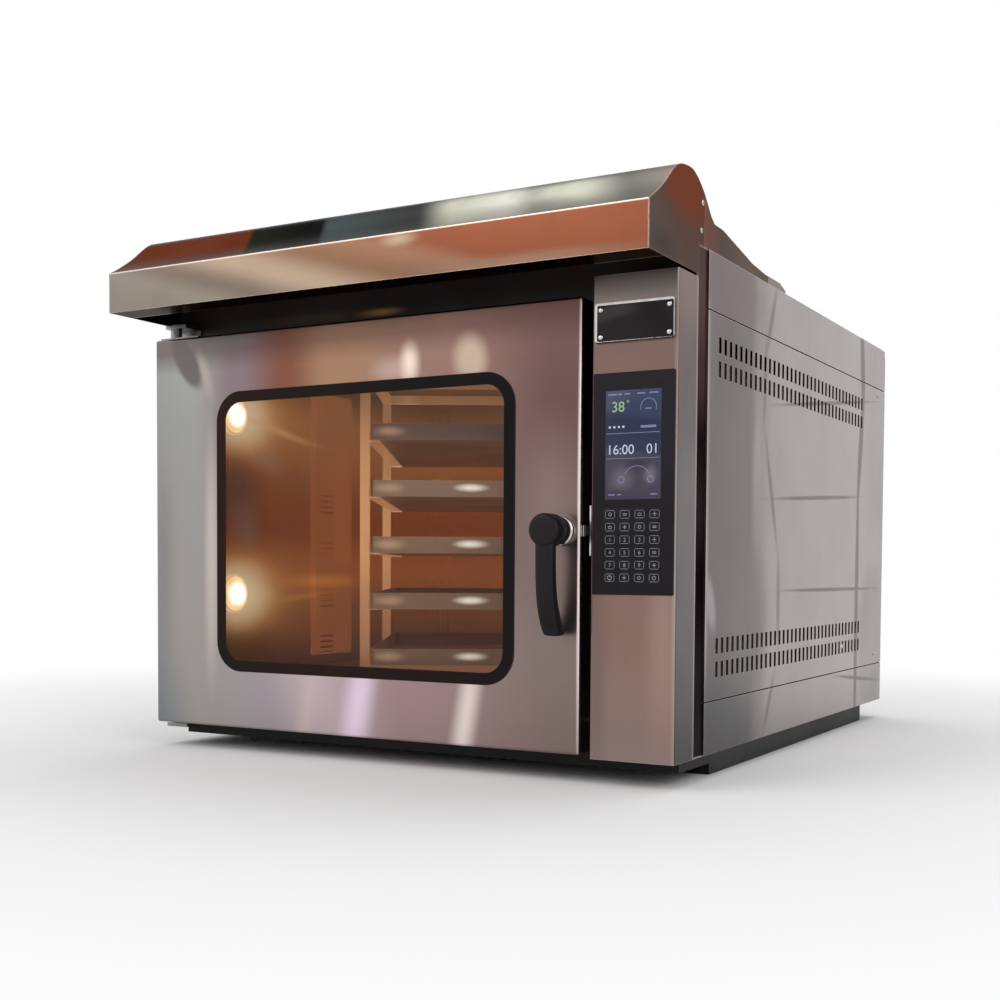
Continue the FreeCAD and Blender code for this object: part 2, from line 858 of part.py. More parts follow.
gearbox_size = 60.0
gearbox_height = 76.0
drive_motor_radius = 28.0
drive_motor_length = 120.0
pinion_shaft_radius = 5.0
gear_gap = 2.0
bearing_radius = 24.0
bearing_flange_radius = 32.0
bearing_flange = 5.0
pivot_radius = 8.0
pivot_bearing_radius = 16.0
pressure_angle = math.radians(20)
tooth_height = 0.8
tooth_root = 1.1
gear_backlash = 0.3
gear_low_flank = 0.4
gear_high_flank = 0.2
gear_hub_height = 12.0
gear_hub_wall = 8.0
pinion_spindle_length = 27.0
gearbox_bore_depth = 30.0
motor_axis_drop = 30.0
bearing_drop = 14.0
pivot_lift = 3.0


def gear_low():
    return cavity_top + liner_sheet + gearbox_height + gear_gap


def involute(angle):
    return math.tan(angle) - angle


def tooth_half_angle(teeth, radius):
    """Half the angle that a tooth fills at this radius, on an involute flank."""
    pitch = teeth * gear_module / 2
    base = pitch * math.cos(pressure_angle)
    here = math.acos(base / max(radius, base))
    at_pitch = math.pi / (2 * teeth) - gear_backlash / (4 * pitch)
    return at_pitch + involute(pressure_angle) - involute(here)


def spur_gear(teeth, centre_x, centre_y, z, thickness, first_angle):
    pitch = teeth * gear_module / 2
    tip = pitch + tooth_height * gear_module
    root = pitch - tooth_root * gear_module
    flank = [root, pitch - gear_low_flank * gear_module, pitch + gear_high_flank * gear_module, tip]
    corners = []
    for i in range(teeth):
        middle = first_angle + 2 * math.pi * i / teeth
        rising = [(r, middle - tooth_half_angle(teeth, r)) for r in flank]
        falling = [(r, middle + tooth_half_angle(teeth, r)) for r in reversed(flank)]
        corners += rising + falling
    places = [point(centre_x + r * math.cos(a), centre_y + r * math.sin(a), z) for r, a in corners]
    outline = Part.makePolygon(places + [places[0]])
    return Part.Face(outline).extrude(point(0, 0, thickness))


def make_drive():
    low = gear_low()
    blank = spur_gear(gear_teeth, rack_x, rack_y, low, gear_thickness, 0)
    hub_low = low - gear_hub_height
    hub = rod(rack_x, rack_y, hub_low, shaft_radius + gear_hub_wall, gear_hub_height, along_z())
    through = gear_hub_height + gear_thickness + 2
    bore = rod(rack_x, rack_y, hub_low - 1, shaft_radius + press_gap, through, along_z())
    save("rack_gear", [fuse([blank, hub]).cut(bore)])
    gap_angle = math.pi + math.pi / pinion_teeth
    pinion_x = rack_x + gear_distance
    pinion = spur_gear(pinion_teeth, pinion_x, rack_y, low, gear_thickness, gap_angle)
    spindle_low = low - pinion_spindle_length
    spindle = rod(pinion_x, rack_y, spindle_low, pinion_shaft_radius, pinion_spindle_length + 1, along_z())
    save("drive_pinion", [fuse([pinion, spindle])])
    box_low = cavity_top + liner_sheet
    half = gearbox_size / 2
    case = box(
        pinion_x - half, pinion_x + half, rack_y - half, rack_y + half, box_low, box_low + gearbox_height
    )
    bore = rod(
        pinion_x, rack_y, low - gearbox_bore_depth, pinion_shaft_radius + running_gap, gearbox_bore_depth,
        along_z(),
    )
    motor = rod(
        pinion_x + half, rack_y, box_low + gearbox_height - motor_axis_drop, drive_motor_radius,
        drive_motor_length, along_x(),
    )
    save("gearmotor", [fuse([case.cut(bore), motor])])


def make_bearings():
    low = cavity_top + liner_sheet
    housing = rod(rack_x, rack_y, low, bearing_radius, gearbox_height - bearing_drop, along_z())
    flange = rod(rack_x, rack_y, low, bearing_flange_radius, bearing_flange, along_z())
    bore = rod(rack_x, rack_y, low - 1, shaft_radius + running_gap, gearbox_height, along_z())
    upper = fuse([housing, flange]).cut(bore)
    bush_height = rack_foot_gap - pivot_lift
    bush = rod(rack_x, rack_y, cavity_floor, pivot_bearing_radius, bush_height, along_z())
    socket = rod(rack_x, rack_y, cavity_floor + 1, pivot_radius + running_gap, bush_height, along_z())
    save("rack_bearings", [upper, bush.cut(socket)])


# ---- Insulation, flue and fittings -----------------------------------------------------

floor_slab = 36.0
roof_slab = 30.0
service_slab = 40.0
flue_flange = 12.0
floor_slab_inset = 60.0
slab_cut_gap = 3.0
drain_inset = 30.0
drain_drop = 30.0
drain_wall = 3.0
drain_run_step = 1.0
drain_collar = 6.0
drain_collar_height = 4.0
inlet_inset = 90.0
inlet_lift = 60.0
inlet_projection = 28.0
inlet_wall = 3.5
inlet_nut_wall = 6.0
inlet_nut_height = 8.0
gland_inset = 90.0
gland_lift = 30.0
gland_wall = 6.0
gland_length = 34.0
gland_inside = 14.0
gland_collar_wall = 4.0
gland_collar_height = 7.0


def drain_x():
    return rack_x


def drain_y():
    return chamber_rear - drain_inset


def drain_z():
    return cavity_floor - liner_sheet - drain_drop


def drain_bore():
    return drain_radius - drain_wall


def drain_run():
    return drain_radius - drain_run_step


def inlet_x():
    return cavity_left + inlet_inset


def inlet_z():
    return cavity_floor + inlet_lift


def gland_x():
    return cavity_right + gland_inset


def gland_z():
    return cavity_floor + gland_lift


def gland_body():
    return gland_radius + gland_wall


def make_insulation():
    y0 = frame_rear + slab_gap
    y1 = chamber_rear - floor_slab_inset
    roof_low = cavity_top + liner_sheet + slab_gap
    high = roof_low + roof_slab
    left = box(
        slab_gap - side_inner, cavity_left - liner_sheet - slab_gap,
        side_front + sheet + slab_gap, chamber_rear, cavity_floor, cavity_top,
    )
    x0 = cavity_right + liner_sheet + slab_gap
    right = box(x0, x0 + service_slab, y0, chamber_rear, cavity_floor, cavity_top)
    roof = box(cavity_left, cavity_right, y0, chamber_rear, roof_low, high)
    pinion_x = rack_x + gear_distance
    half = gearbox_size / 2 + slab_cut_gap
    cuts = [
        rod(rack_x, rack_y, roof_low - 1, bearing_flange_radius + 2, roof_slab + 2, along_z()),
        rod(rack_x, flue_y(), roof_low - 1, flue_radius + 2, roof_slab + 2, along_z()),
        box(
            pinion_x - half, pinion_x + half + drive_motor_length, rack_y - half, rack_y + half,
            roof_low - 1, high + 1,
        ),
    ]
    floor_high = cavity_floor - liner_sheet - slab_gap
    floor = box(cavity_left, cavity_right, y0, y1, floor_high - floor_slab, floor_high)
    rear_front = chamber_rear + liner_sheet + slab_gap
    rear = box(cavity_left, cavity_right, rear_front, rear_front + wall_slab, cavity_floor, cavity_top)
    neck = rod(rack_x, rear_front - 1, fan_z, motor_neck_radius + 1, wall_slab + 2, along_y())
    pipe = rod(inlet_x(), rear_front - 1, inlet_z(), inlet_radius + 1, wall_slab + 2, along_y())
    save("insulation", [left, right, drill(roof, cuts), floor, drill(rear, [neck, pipe])])


def make_flue():
    high = body_top + flue_height
    tube = rod(rack_x, flue_y(), cavity_top, flue_radius, high - cavity_top, along_z())
    flange = rod(rack_x, flue_y(), body_top, flue_radius + flue_flange, 2.0, along_z())
    bore = rod(rack_x, flue_y(), cavity_top - 1, flue_radius - sheet, high - cavity_top + 2, along_z())
    save("flue_collar", [fuse([tube, flange]).cut(bore)])


def make_fittings():
    rear = body_depth + pipe_projection
    start = drain_y()
    riser_low = drain_z() - drain_radius
    riser_high = cavity_floor - liner_sheet
    riser = rod(drain_x(), start, riser_low, drain_radius, riser_high - riser_low, along_z())
    run = rod(drain_x(), start, drain_z(), drain_run(), body_depth - start, along_y())
    stub = rod(drain_x(), body_depth, drain_z(), drain_radius, pipe_projection, along_y())
    collar = rod(
        drain_x(), body_depth, drain_z(), drain_radius + drain_collar, drain_collar_height, along_y()
    )
    riser_length = riser_high - riser_low
    riser_bore = rod(drain_x(), start, riser_low + drain_wall, drain_bore(), riser_length, along_z())
    run_bore = rod(drain_x(), start, drain_z(), drain_bore(), rear - start + 1, along_y())
    save("drain_pipe", [fuse([riser, run, stub, collar]).cut(riser_bore).cut(run_bore)])
    start = chamber_rear + liner_sheet
    length = body_depth + inlet_projection - start
    pipe = rod(inlet_x(), start, inlet_z(), inlet_radius, length, along_y())
    nut = rod(inlet_x(), body_depth, inlet_z(), inlet_radius + inlet_nut_wall, inlet_nut_height, along_y())
    bore = rod(inlet_x(), start - 1, inlet_z(), inlet_radius - inlet_wall, length + 2, along_y())
    save("water_inlet", [fuse([pipe, nut]).cut(bore)])
    start = body_depth - gland_inside
    body = rod(gland_x(), start, gland_z(), gland_body(), gland_length, along_y())
    collar = rod(
        gland_x(), body_depth, gland_z(), gland_body() + gland_collar_wall, gland_collar_height, along_y()
    )
    through = rod(gland_x(), start - 1, gland_z(), gland_radius, gland_length + 2, along_y())
    save("cable_gland", [fuse([body, collar]).cut(through)])


screw_radius = 4.0
screw_rise = 1.8
screw_rear_inset = 57.0
screw_seam_drop = 16.0
screw_low_rise = 22.0
hood_screw_insets = ((14.0, 20.0), (10.0, 60.0))
rear_screw_inset = 14.0
rear_screw_end = 40.0
rear_screw_rows = 4


def make_screws():
    made = []
    seam = body_top - side_upper_height
    hood_places = [(hood_back - inset, body_top + up) for inset, up in hood_screw_insets]
    rear_y = body_depth - screw_rear_inset
    rear_places = [
        (rear_y, seam - screw_seam_drop),
        (rear_y, base_height + side_lower_height + screw_low_rise),
    ]
    for start in (half_width, -half_width - screw_rise):
        for y, z in hood_places + rear_places:
            made.append(rod(start, y, z, screw_radius, screw_rise, along_x()))
    low = base_height + rear_screw_end
    step = (body_top - rear_screw_end - low) / (rear_screw_rows - 1)
    for x in (rear_screw_inset - side_inner, side_inner - rear_screw_inset):
        for i in range(rear_screw_rows):
            made.append(rod(x, body_depth, low + i * step, screw_radius, screw_rise, along_y()))
    save("casing_screws", made)


# ---- Door ------------------------------------------------------------------------------

skin_hole_gap = 2.0
cam_slot_drop = 44.0
cam_slot_rise = 12.0
boss_radius = 23.0
boss_depth = 12.0


def door_window(shrink, y0, y1, spread=0.0, rise=0.0):
    """The window's outline as a slab. It gets smaller by shrink, and wider and taller behind."""
    x0 = door_left + window_margin_left + shrink - spread
    x1 = door_right - window_margin_right - shrink + spread
    z0 = door_low + window_margin_low + shrink - rise
    z1 = door_top - window_margin_high - shrink + rise
    return rounded_box(x0, x1, y0, y1, z0, z1, window_radius - shrink)


def window_outline(shrink, y, spread=0.0, rise=0.0):
    slab = door_window(shrink, y, y + glass_thickness, spread, rise)
    front = min(slab.Faces, key=lambda face: face.CenterOfMass.y)
    return front.OuterWire


def window_funnel(shrink, y0, y1):
    """The space seen through the window, which opens out towards the cavity."""
    front = window_outline(shrink, y0)
    rear = window_outline(shrink, y1, window_spread, window_rise)
    return Part.makeLoft([front, rear], True, True)


def make_door_skin():
    rear = door_depth - sheet
    outer = box(door_left, door_right, 0, rear, door_low, door_top)
    round_edges = [edge for edge in outer.Edges if edge.CenterOfMass.y < rear - 1]
    outer = outer.makeFillet(door_edge_radius, round_edges)
    inner = box(
        door_left + sheet, door_right - sheet, sheet, rear + 1, door_low + sheet, door_top - sheet
    )
    soft = [edge for edge in inner.Edges if edge.CenterOfMass.y < rear - 1]
    inner = inner.makeFillet(door_edge_radius - sheet, soft)
    hole = hinge_pin_radius + skin_hole_gap
    cutters = [
        inner,
        door_window(border_lap - running_gap, -1, sheet + 1),
        rod(handle_x, -1, handle_z, spindle_radius + 1, sheet + 2, along_y()),
        rod(hinge_x, hinge_depth, door_top - sheet - 1, hole, sheet + 2, along_z()),
        rod(hinge_x, hinge_depth, door_low - 1, hole, sheet + 2, along_z()),
        cam_slot(),
    ]
    save("door_skin", [drill(outer, cutters)])
    back = rounded_box(door_left, door_right, rear, door_depth, door_low, door_top, door_edge_radius)
    opening = door_window(2 * border_lap, rear - 1, door_depth + 1, window_spread, window_rise)
    save("door_back", [back.cut(opening)])


def cam_slot():
    return box(
        door_right - sheet - 1, door_right + 1, cam_front - 2, cam_front + cam_thickness + 2,
        handle_z - cam_slot_drop, handle_z + cam_slot_rise,
    )


def make_window():
    reveal_rear = door_depth - sheet - glass_thickness
    front = door_window(0, -border_proud, 0).cut(door_window(border_width, -border_proud - 1, 1))
    neck = door_window(border_lap, 0, window_neck).cut(door_window(2 * border_lap, -1, window_neck + 1))
    funnel = window_funnel(border_lap, window_neck, reveal_rear)
    funnel = funnel.cut(window_funnel(2 * border_lap, window_neck, reveal_rear))
    save("window_frame", [fuse([front, neck, funnel])])
    save("outer_glass", [door_window(2 * border_lap + running_gap, 0, glass_thickness)])
    save("inner_glass", [door_window(0, reveal_rear, door_depth - sheet, window_spread, window_rise)])


hinge_leaf = 84.0
hinge_leaf_front = 6.0
hinge_leaf_rear = 3.0


def make_hinge_plates():
    hole_radius = hinge_pin_radius + running_gap
    hole = rod(hinge_x, hinge_depth, 0, hole_radius, body_top, along_z())
    y0 = door_edge_radius + hinge_leaf_front
    y1 = door_depth - hinge_leaf_rear
    x0 = door_left + door_edge_radius
    upper = box(x0, x0 + hinge_leaf, y0, y1, door_top, door_top + hinge_plate)
    lower = box(x0, x0 + hinge_leaf, y0, y1, door_low + sheet, door_low + sheet + hinge_plate)
    save("hinge_plates", [upper.cut(hole), lower.cut(hole)])


# ---- Handle ----------------------------------------------------------------------------

hub_radius = 24.0
hub_length = 50.0
hub_cap = 20.0
boss_edge = 3.0
cam_half = 8.0
lever_edge = 4.0
lever_stand = 62.0
lever_outer = ((0.94, 0.0), (1.0, 0.29), (0.94, 0.58), (0.76, 0.84), (0.5, 1.0))
lever_inner = ((0.22, 0.95), (0.32, 0.85), (0.51, 0.73), (0.65, 0.5), (0.68, 0.25), (0.64, 0.0))


def make_handle():
    bore = rod(handle_x, -boss_depth - 1, handle_z, spindle_radius + running_gap, boss_depth + 2, along_y())
    boss = rod(handle_x, -boss_depth, handle_z, boss_radius, boss_depth, along_y())
    boss = boss.makeFillet(boss_edge, [boss.Edges[2]])
    save("handle_boss", [boss.cut(bore)])
    hub_front = -boss_depth - hinge_gap - hub_length
    hub = rod(handle_x, hub_front, handle_z, hub_radius, hub_length, along_y())
    seat = hub_front + hub_cap
    blind = rod(handle_x, seat, handle_z, spindle_radius + press_gap, hub_length, along_y())
    lever = fuse([hub, lever_arm()]).cut(blind)
    save("handle_lever", [lever])
    cam_rear = cam_front + cam_thickness
    spindle = rod(handle_x, seat, handle_z, spindle_radius, cam_rear - seat, along_y())
    tip_x = handle_x + cam_reach - cam_half
    reach = box(handle_x, tip_x, cam_front, cam_rear, handle_z - cam_half, handle_z + cam_half)
    tip = rod(tip_x, cam_front, handle_z, cam_half, cam_thickness, along_y())
    save("handle_spindle", [fuse([spindle, reach, tip])])


def lever_arm():
    x0 = handle_x - lever_width / 2
    outer_points = [(-lever_stand * out, handle_z - lever_length * down) for out, down in lever_outer]
    inner_points = [(-lever_stand * out, handle_z - lever_length * down) for out, down in lever_inner]
    front = spline(outer_points, x0).toShape()
    back = spline(inner_points, x0).toShape()
    tip = Part.LineSegment(point(x0, *outer_points[-1]), point(x0, *inner_points[0])).toShape()
    top = Part.LineSegment(point(x0, *inner_points[-1]), point(x0, *outer_points[0])).toShape()
    face = Part.Face(Part.Wire([front, tip, back, top]))
    arm = face.extrude(point(lever_width, 0, 0))
    return arm.makeFillet(lever_edge, arm.Edges)


# ---- Rack and trays --------------------------------------------------------------------


def turned(shape):
    """Set a piece of the rack, drawn square to the front, at the rack's angle."""
    copy = shape.copy()
    copy.rotate(point(rack_x, rack_y, 0), along_z(), rack_turn)
    return copy


def rack_box(u0, u1, v0, v1, z0, z1):
    return turned(box(rack_x + u0, rack_x + u1, rack_y + v0, rack_y + v1, z0, z1))


def runner_outer():
    return tray_width / 2 + runner_side_gap + runner_sheet


def make_rack():
    low = cavity_floor + rack_foot_gap
    high = cavity_top - rack_foot_gap
    inner = runner_outer()
    outer = inner + post_size
    v = tray_depth / 2 - post_inset
    half = post_size / 2
    pieces = []
    for side in (-1, 1):
        u0 = min(side * inner, side * outer)
        u1 = max(side * inner, side * outer)
        for end in (-1, 1):
            pieces.append(rack_box(u0, u1, end * v - half, end * v + half, low, high))
        for z in (low, high - post_size):
            pieces.append(rack_box(u0, u1, half - v, v - half, z, z + post_size))
    for z in (low, high - post_size):
        for middle in (-v, 0, v):
            pieces.append(rack_box(-inner, inner, middle - half, middle + half, z, z + post_size))
    save("rack_frame", pieces)
    shaft = rod(rack_x, rack_y, high, shaft_radius, gear_low() + gear_thickness + 2 - high, along_z())
    pivot_length = rack_foot_gap - pivot_lift
    pivot = rod(rack_x, rack_y, cavity_floor + pivot_lift, pivot_radius, pivot_length, along_z())
    save("rack_shaft", [shaft, pivot])


runner_end = 15.0
runner_lip = 14.0


def make_runners():
    outer = runner_outer()
    v = tray_depth / 2 - runner_end
    made = []
    for level in range(tray_count):
        z = tray_low(level)
        for side in (-1, 1):
            edge = side * outer
            shelf_edge = edge - side * runner_width
            web_edge = edge - side * runner_sheet
            shelf = rack_box(min(edge, shelf_edge), max(edge, shelf_edge), -v, v, z - runner_sheet, z)
            web = rack_box(min(edge, web_edge), max(edge, web_edge), -v, v, z - runner_sheet, z + runner_lip)
            made.append(fuse([shelf, web]))
    save("rack_runners", made)


tray_corner = 14.0


def upright_slab(u, v, z0, z1, corner):
    """A slab on the rack's axis, with its upright edges rounded."""
    slab = box(rack_x - u, rack_x + u, rack_y - v, rack_y + v, z0, z1)
    upright = [edge for edge in slab.Edges if abs(edge.tangentAt(edge.FirstParameter).z) > straight]
    return slab.makeFillet(corner, upright)


def tray(level):
    z = tray_low(level)
    u = tray_width / 2
    v = tray_depth / 2
    outer = upright_slab(u, v, z, z + tray_height, tray_corner)
    inner = upright_slab(
        u - tray_sheet, v - tray_sheet, z + tray_sheet, z + tray_height + 1, tray_corner - tray_sheet
    )
    return turned(outer.cut(inner))


def make_trays():
    for level in range(tray_count):
        save("tray_" + str(level + 1), [tray(level)])


# ---- The whole oven --------------------------------------------------------------------

os.makedirs("parts", exist_ok=True)
make_base()
make_sides()
make_frame_posts()
make_rear_and_top()
make_front_frame()
make_latch_keeper()
make_hinge_brackets()
make_control_column()
make_controls()
make_nameplate()
make_hood()
make_filter()
make_top_covers()
make_liner()
make_baffle()
make_duct()
make_lamps()
make_fan()
make_fan_motor()
make_heater()
make_drive()
make_bearings()
make_insulation()
make_flue()
make_fittings()
make_screws()
make_door_skin()
make_window()
make_hinge_plates()
make_handle()
make_rack()
make_runners()
make_trays()
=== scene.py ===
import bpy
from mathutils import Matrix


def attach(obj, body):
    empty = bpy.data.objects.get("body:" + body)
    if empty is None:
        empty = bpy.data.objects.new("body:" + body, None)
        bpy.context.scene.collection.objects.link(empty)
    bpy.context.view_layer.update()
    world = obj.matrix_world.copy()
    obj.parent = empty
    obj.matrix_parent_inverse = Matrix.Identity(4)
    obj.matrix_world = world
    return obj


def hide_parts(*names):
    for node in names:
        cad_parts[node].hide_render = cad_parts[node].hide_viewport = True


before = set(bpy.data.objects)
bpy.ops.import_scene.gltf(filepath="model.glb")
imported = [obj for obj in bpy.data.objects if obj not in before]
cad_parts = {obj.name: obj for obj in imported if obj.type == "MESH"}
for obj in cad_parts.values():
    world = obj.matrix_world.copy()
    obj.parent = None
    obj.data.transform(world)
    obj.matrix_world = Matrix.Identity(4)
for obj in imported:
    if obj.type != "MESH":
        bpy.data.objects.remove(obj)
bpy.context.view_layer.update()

import math

import bmesh
import bpy
from mathutils import Matrix, Vector

# ---- The room -----------------------------------------------------------------
# A pale floor, an even white surround and three soft lamps at a plain level.
# The camera stands right of the oven's front, level with its middle.

view_at = (1.2003, -2.3022, 0.3136)
view_turn = math.radians(29.64)
view_dip = math.radians(2.33)
view_roll = math.radians(0.33)
view_lens = 48.48
view_shift = (0.0025, 0.1230)
surround_level = 0.62

view = bpy.data.cameras.new("view")
view.lens = view_lens
view.sensor_width = 36
view.shift_x, view.shift_y = view_shift
forward = Vector(
    (-math.sin(view_turn) * math.cos(view_dip), math.cos(view_turn) * math.cos(view_dip), -math.sin(view_dip))
)
level_right = Vector((math.cos(view_turn), math.sin(view_turn), 0))
level_up = level_right.cross(forward)
right = math.cos(view_roll) * level_right + math.sin(view_roll) * level_up
up = math.cos(view_roll) * level_up - math.sin(view_roll) * level_right
camera = bpy.data.objects.new("view", view)
camera.matrix_world = Matrix.Translation(view_at) @ Matrix((right, up, -forward)).transposed().to_4x4()
bpy.context.scene.collection.objects.link(camera)
bpy.context.scene.camera = camera
bpy.context.scene.view_settings.view_transform = "Standard"


def add(tree, kind, inputs=None, **settings):
    """One node of a material, with its sockets given as values or as links."""
    made = tree.nodes.new("ShaderNode" + kind)
    for setting, value in settings.items():
        setattr(made, setting, value)
    for socket, value in (inputs or {}).items():
        if isinstance(value, bpy.types.NodeSocket):
            tree.links.new(value, made.inputs[socket])
        else:
            made.inputs[socket].default_value = value
    return made


def colour(red, green, blue):
    """A colour picked on screen, from 0 to 255, as light values."""
    parts = [part / 255 for part in (red, green, blue)]
    return tuple(p / 12.92 if p <= 0.04045 else ((p + 0.055) / 1.055) ** 2.4 for p in parts) + (1.0,)


def new_finish(name):
    """An empty material and its two fixed nodes."""
    finish = bpy.data.materials.new(name)
    finish.use_nodes = True
    tree = finish.node_tree
    return finish, tree, tree.nodes["Principled BSDF"], tree.nodes["Material Output"]


def either(tree, one, other):
    return add(tree, "Math", {0: one, 1: other}, operation="MAXIMUM").outputs[0]


def times(tree, one, other):
    return add(tree, "Math", {0: one, 1: other}, operation="MULTIPLY").outputs[0]


def seen_directly(tree):
    """1 for what the camera sees itself, in a mirror or through glass, and 0 for soft light."""
    path = add(tree, "LightPath").outputs
    seen = either(tree, path["Is Camera Ray"], path["Is Glossy Ray"])
    return either(tree, seen, path["Is Transmission Ray"])


world = bpy.data.worlds.new("surround")
world.use_nodes = True
bpy.context.scene.world = world
sky = world.node_tree
strength = add(
    sky, "MapRange", {"Value": seen_directly(sky), "To Min": surround_level, "To Max": 1.0}
).outputs["Result"]
sky.nodes["Background"].inputs["Color"].default_value = (1, 1, 1, 1)
sky.links.new(strength, sky.nodes["Background"].inputs["Strength"])

floor_reach = 30
fade_from, fade_to = 0.9, 2.2
floor_form = bmesh.new()
bmesh.ops.create_circle(floor_form, cap_ends=True, segments=64, radius=floor_reach)
floor_mesh = bpy.data.meshes.new("floor")
floor_form.to_mesh(floor_mesh)
floor_form.free()
floor = bpy.data.objects.new("floor", floor_mesh)
bpy.context.scene.collection.objects.link(floor)
floor_finish, tree, shader, output = new_finish("pale_floor")
shader.inputs["Base Color"].default_value = (0.93, 0.93, 0.93, 1)
shader.inputs["Roughness"].default_value = 0.9
shader.inputs["Specular IOR Level"].default_value = 0.0
ground = add(tree, "TexCoord").outputs["Object"]
reach = add(tree, "VectorMath", {0: ground}, operation="LENGTH").outputs["Value"]
far = add(
    tree, "MapRange", {"Value": reach, "From Min": fade_from, "From Max": fade_to},
    interpolation_type="SMOOTHSTEP",
).outputs["Result"]
blank = times(tree, far, seen_directly(tree))
white = add(tree, "Emission", {"Color": (1, 1, 1, 1), "Strength": 1.0}).outputs[0]
faded = add(tree, "MixShader", {0: blank, 1: shader.outputs[0], 2: white}).outputs[0]
tree.links.new(faded, output.inputs["Surface"])
floor_mesh.materials.append(floor_finish)

lamps_aim = Vector((0, 0, 0.4))
for name, place_at, power, size in (
    ("key_lamp", (-1.6, -2.9, 2.6), 34, 2.4),
    ("fill_lamp", (2.9, -1.6, 1.9), 20, 2.4),
    ("top_lamp", (0.2, 0.9, 3.2), 30, 2.6),
):
    lamp = bpy.data.lights.new(name, "AREA")
    lamp.energy = power
    lamp.size = size
    lamp_object = bpy.data.objects.new(name, lamp)
    aim = lamps_aim - Vector(place_at)
    lamp_object.matrix_world = Matrix.Translation(place_at) @ aim.to_track_quat("-Z", "Y").to_matrix().to_4x4()
    bpy.context.scene.collection.objects.link(lamp_object)

# ---- Base ---------------------------------------------------------------------
# Two welded rails on cross-members, of folded steel with a satin black coat,
# and a zinc-coated pan screwed over them. The oven's front lies footprint_mid
# metres before the middle of its footprint.

footprint_mid = 0.547205


def new_group(name, inputs, outputs):
    """A shared effect for materials, with its inputs as (name, kind, value)."""
    group = bpy.data.node_groups.new(name, "ShaderNodeTree")
    for label, kind, value in inputs:
        socket = group.interface.new_socket(label, in_out="INPUT", socket_type="NodeSocket" + kind)
        socket.default_value = value
    for label, kind in outputs:
        group.interface.new_socket(label, in_out="OUTPUT", socket_type="NodeSocket" + kind)
    return group, group.nodes.new("NodeGroupInput").outputs, group.nodes.new("NodeGroupOutput").inputs


def put(tree, group, inputs):
    """Places a shared effect in a material."""
    return add(tree, "Group", inputs, node_tree=group).outputs


def noise(tree, spot, scale, detail, roughness=0.5):
    settings = {"Vector": spot, "Scale": scale, "Detail": detail, "Roughness": roughness}
    return add(tree, "TexNoise", settings).outputs["Fac"]


# Fine streaks left by the brushing belt, and the smudges of use over them.
brushed_grain, given, gives = new_group(
    "brushed_grain",
    [("Vector", "Vector", (0, 0, 0)), ("Stretch", "Vector", (1, 1, 1)), ("Depth", "Float", 0.1)],
    [("Shade", "Float"), ("Height", "Float"), ("Smudge", "Float")],
)
drawn = add(brushed_grain, "VectorMath", {0: given["Vector"], 1: given["Stretch"]}, operation="MULTIPLY")
streaks = noise(brushed_grain, drawn.outputs[0], 1.0, 5.0, 0.65)
centred = add(brushed_grain, "Math", {0: streaks, 1: 0.5}, operation="SUBTRACT").outputs[0]
brushed_grain.links.new(
    add(brushed_grain, "Math", {0: centred, 1: given["Depth"], 2: 1.0}, operation="MULTIPLY_ADD").outputs[0],
    gives["Shade"],
)
brushed_grain.links.new(streaks, gives["Height"])
brushed_grain.links.new(noise(brushed_grain, given["Vector"], 6.0, 3.0, 0.55), gives["Smudge"])

# A painted highlight on folded and cut edges of sheet, where a rounded edge would catch the light.
painted_edge_highlight, given, gives = new_group("painted_edge_highlight", [("Radius", "Float", 0.0015)], [("Mask", "Float")])
rounded = add(painted_edge_highlight, "Bevel", {"Radius": given["Radius"]}, samples=4)
flat = add(painted_edge_highlight, "NewGeometry")
facing = add(
    painted_edge_highlight, "VectorMath", {0: rounded.outputs["Normal"], 1: flat.outputs["Normal"]}, operation="DOT_PRODUCT"
)
painted_edge_highlight.links.new(
    add(
        painted_edge_highlight, "MapRange", {"Value": facing.outputs["Value"], "From Min": 0.995, "From Max": 0.8}
    ).outputs["Result"],
    gives["Mask"],
)

# One soft-edged oval of lighter or darker tone; most are painted reflections, highlights, lamp glows or shade on the
# steel.
soft_patch, given, gives = new_group(
    "soft_patch",
    [
        ("Vector", "Vector", (0, 0, 0)), ("Centre", "Vector", (0, 0, 0)),
        ("Turn", "Vector", (0, 0, 0)), ("Size", "Vector", (1, 1, 1)), ("Core", "Float", 0.0),
    ],
    [("Mask", "Float")],
)
local = add(
    soft_patch, "Mapping",
    {"Vector": given["Vector"], "Location": given["Centre"], "Rotation": given["Turn"], "Scale": given["Size"]},
    vector_type="TEXTURE",
)
away = add(soft_patch, "VectorMath", {0: local.outputs[0]}, operation="LENGTH").outputs["Value"]
soft_patch.links.new(
    add(
        soft_patch, "MapRange", {"Value": away, "From Min": 1.0, "From Max": given["Core"]},
        interpolation_type="SMOOTHSTEP",
    ).outputs["Result"],
    gives["Mask"],
)


def spot_on(tree):
    """Where a point of the surface is, measured like the oven: y from the door's front face."""
    found = add(tree, "TexCoord").outputs["Object"]
    return add(tree, "Mapping", {"Vector": found, "Location": (0, footprint_mid, 0)}).outputs[0]


def shades(tree, spot, direction, stops):
    """Tones set out along a direction. Each stop is a distance in mm and a colour."""
    distance = add(tree, "VectorMath", {0: spot, 1: direction}, operation="DOT_PRODUCT").outputs["Value"]
    first, last = stops[0][0] / 1000, stops[-1][0] / 1000
    share = add(tree, "MapRange", {"Value": distance, "From Min": first, "From Max": last}).outputs["Result"]
    ramp = add(tree, "ValToRGB", {"Fac": share})
    ramp.color_ramp.interpolation = "EASE"
    knots = ramp.color_ramp.elements
    while len(knots) < len(stops):
        knots.new(0.5)
    for knot, (at, tone) in zip(knots, stops):
        knot.position = (at / 1000 - first) / (last - first)
        knot.color = colour(*tone)
    return ramp.outputs["Color"]


def mixed(tree, mask, under, over, kind="MIX"):
    return add(tree, "Mix", {0: mask, 6: under, 7: over}, data_type="RGBA", blend_type=kind).outputs[2]


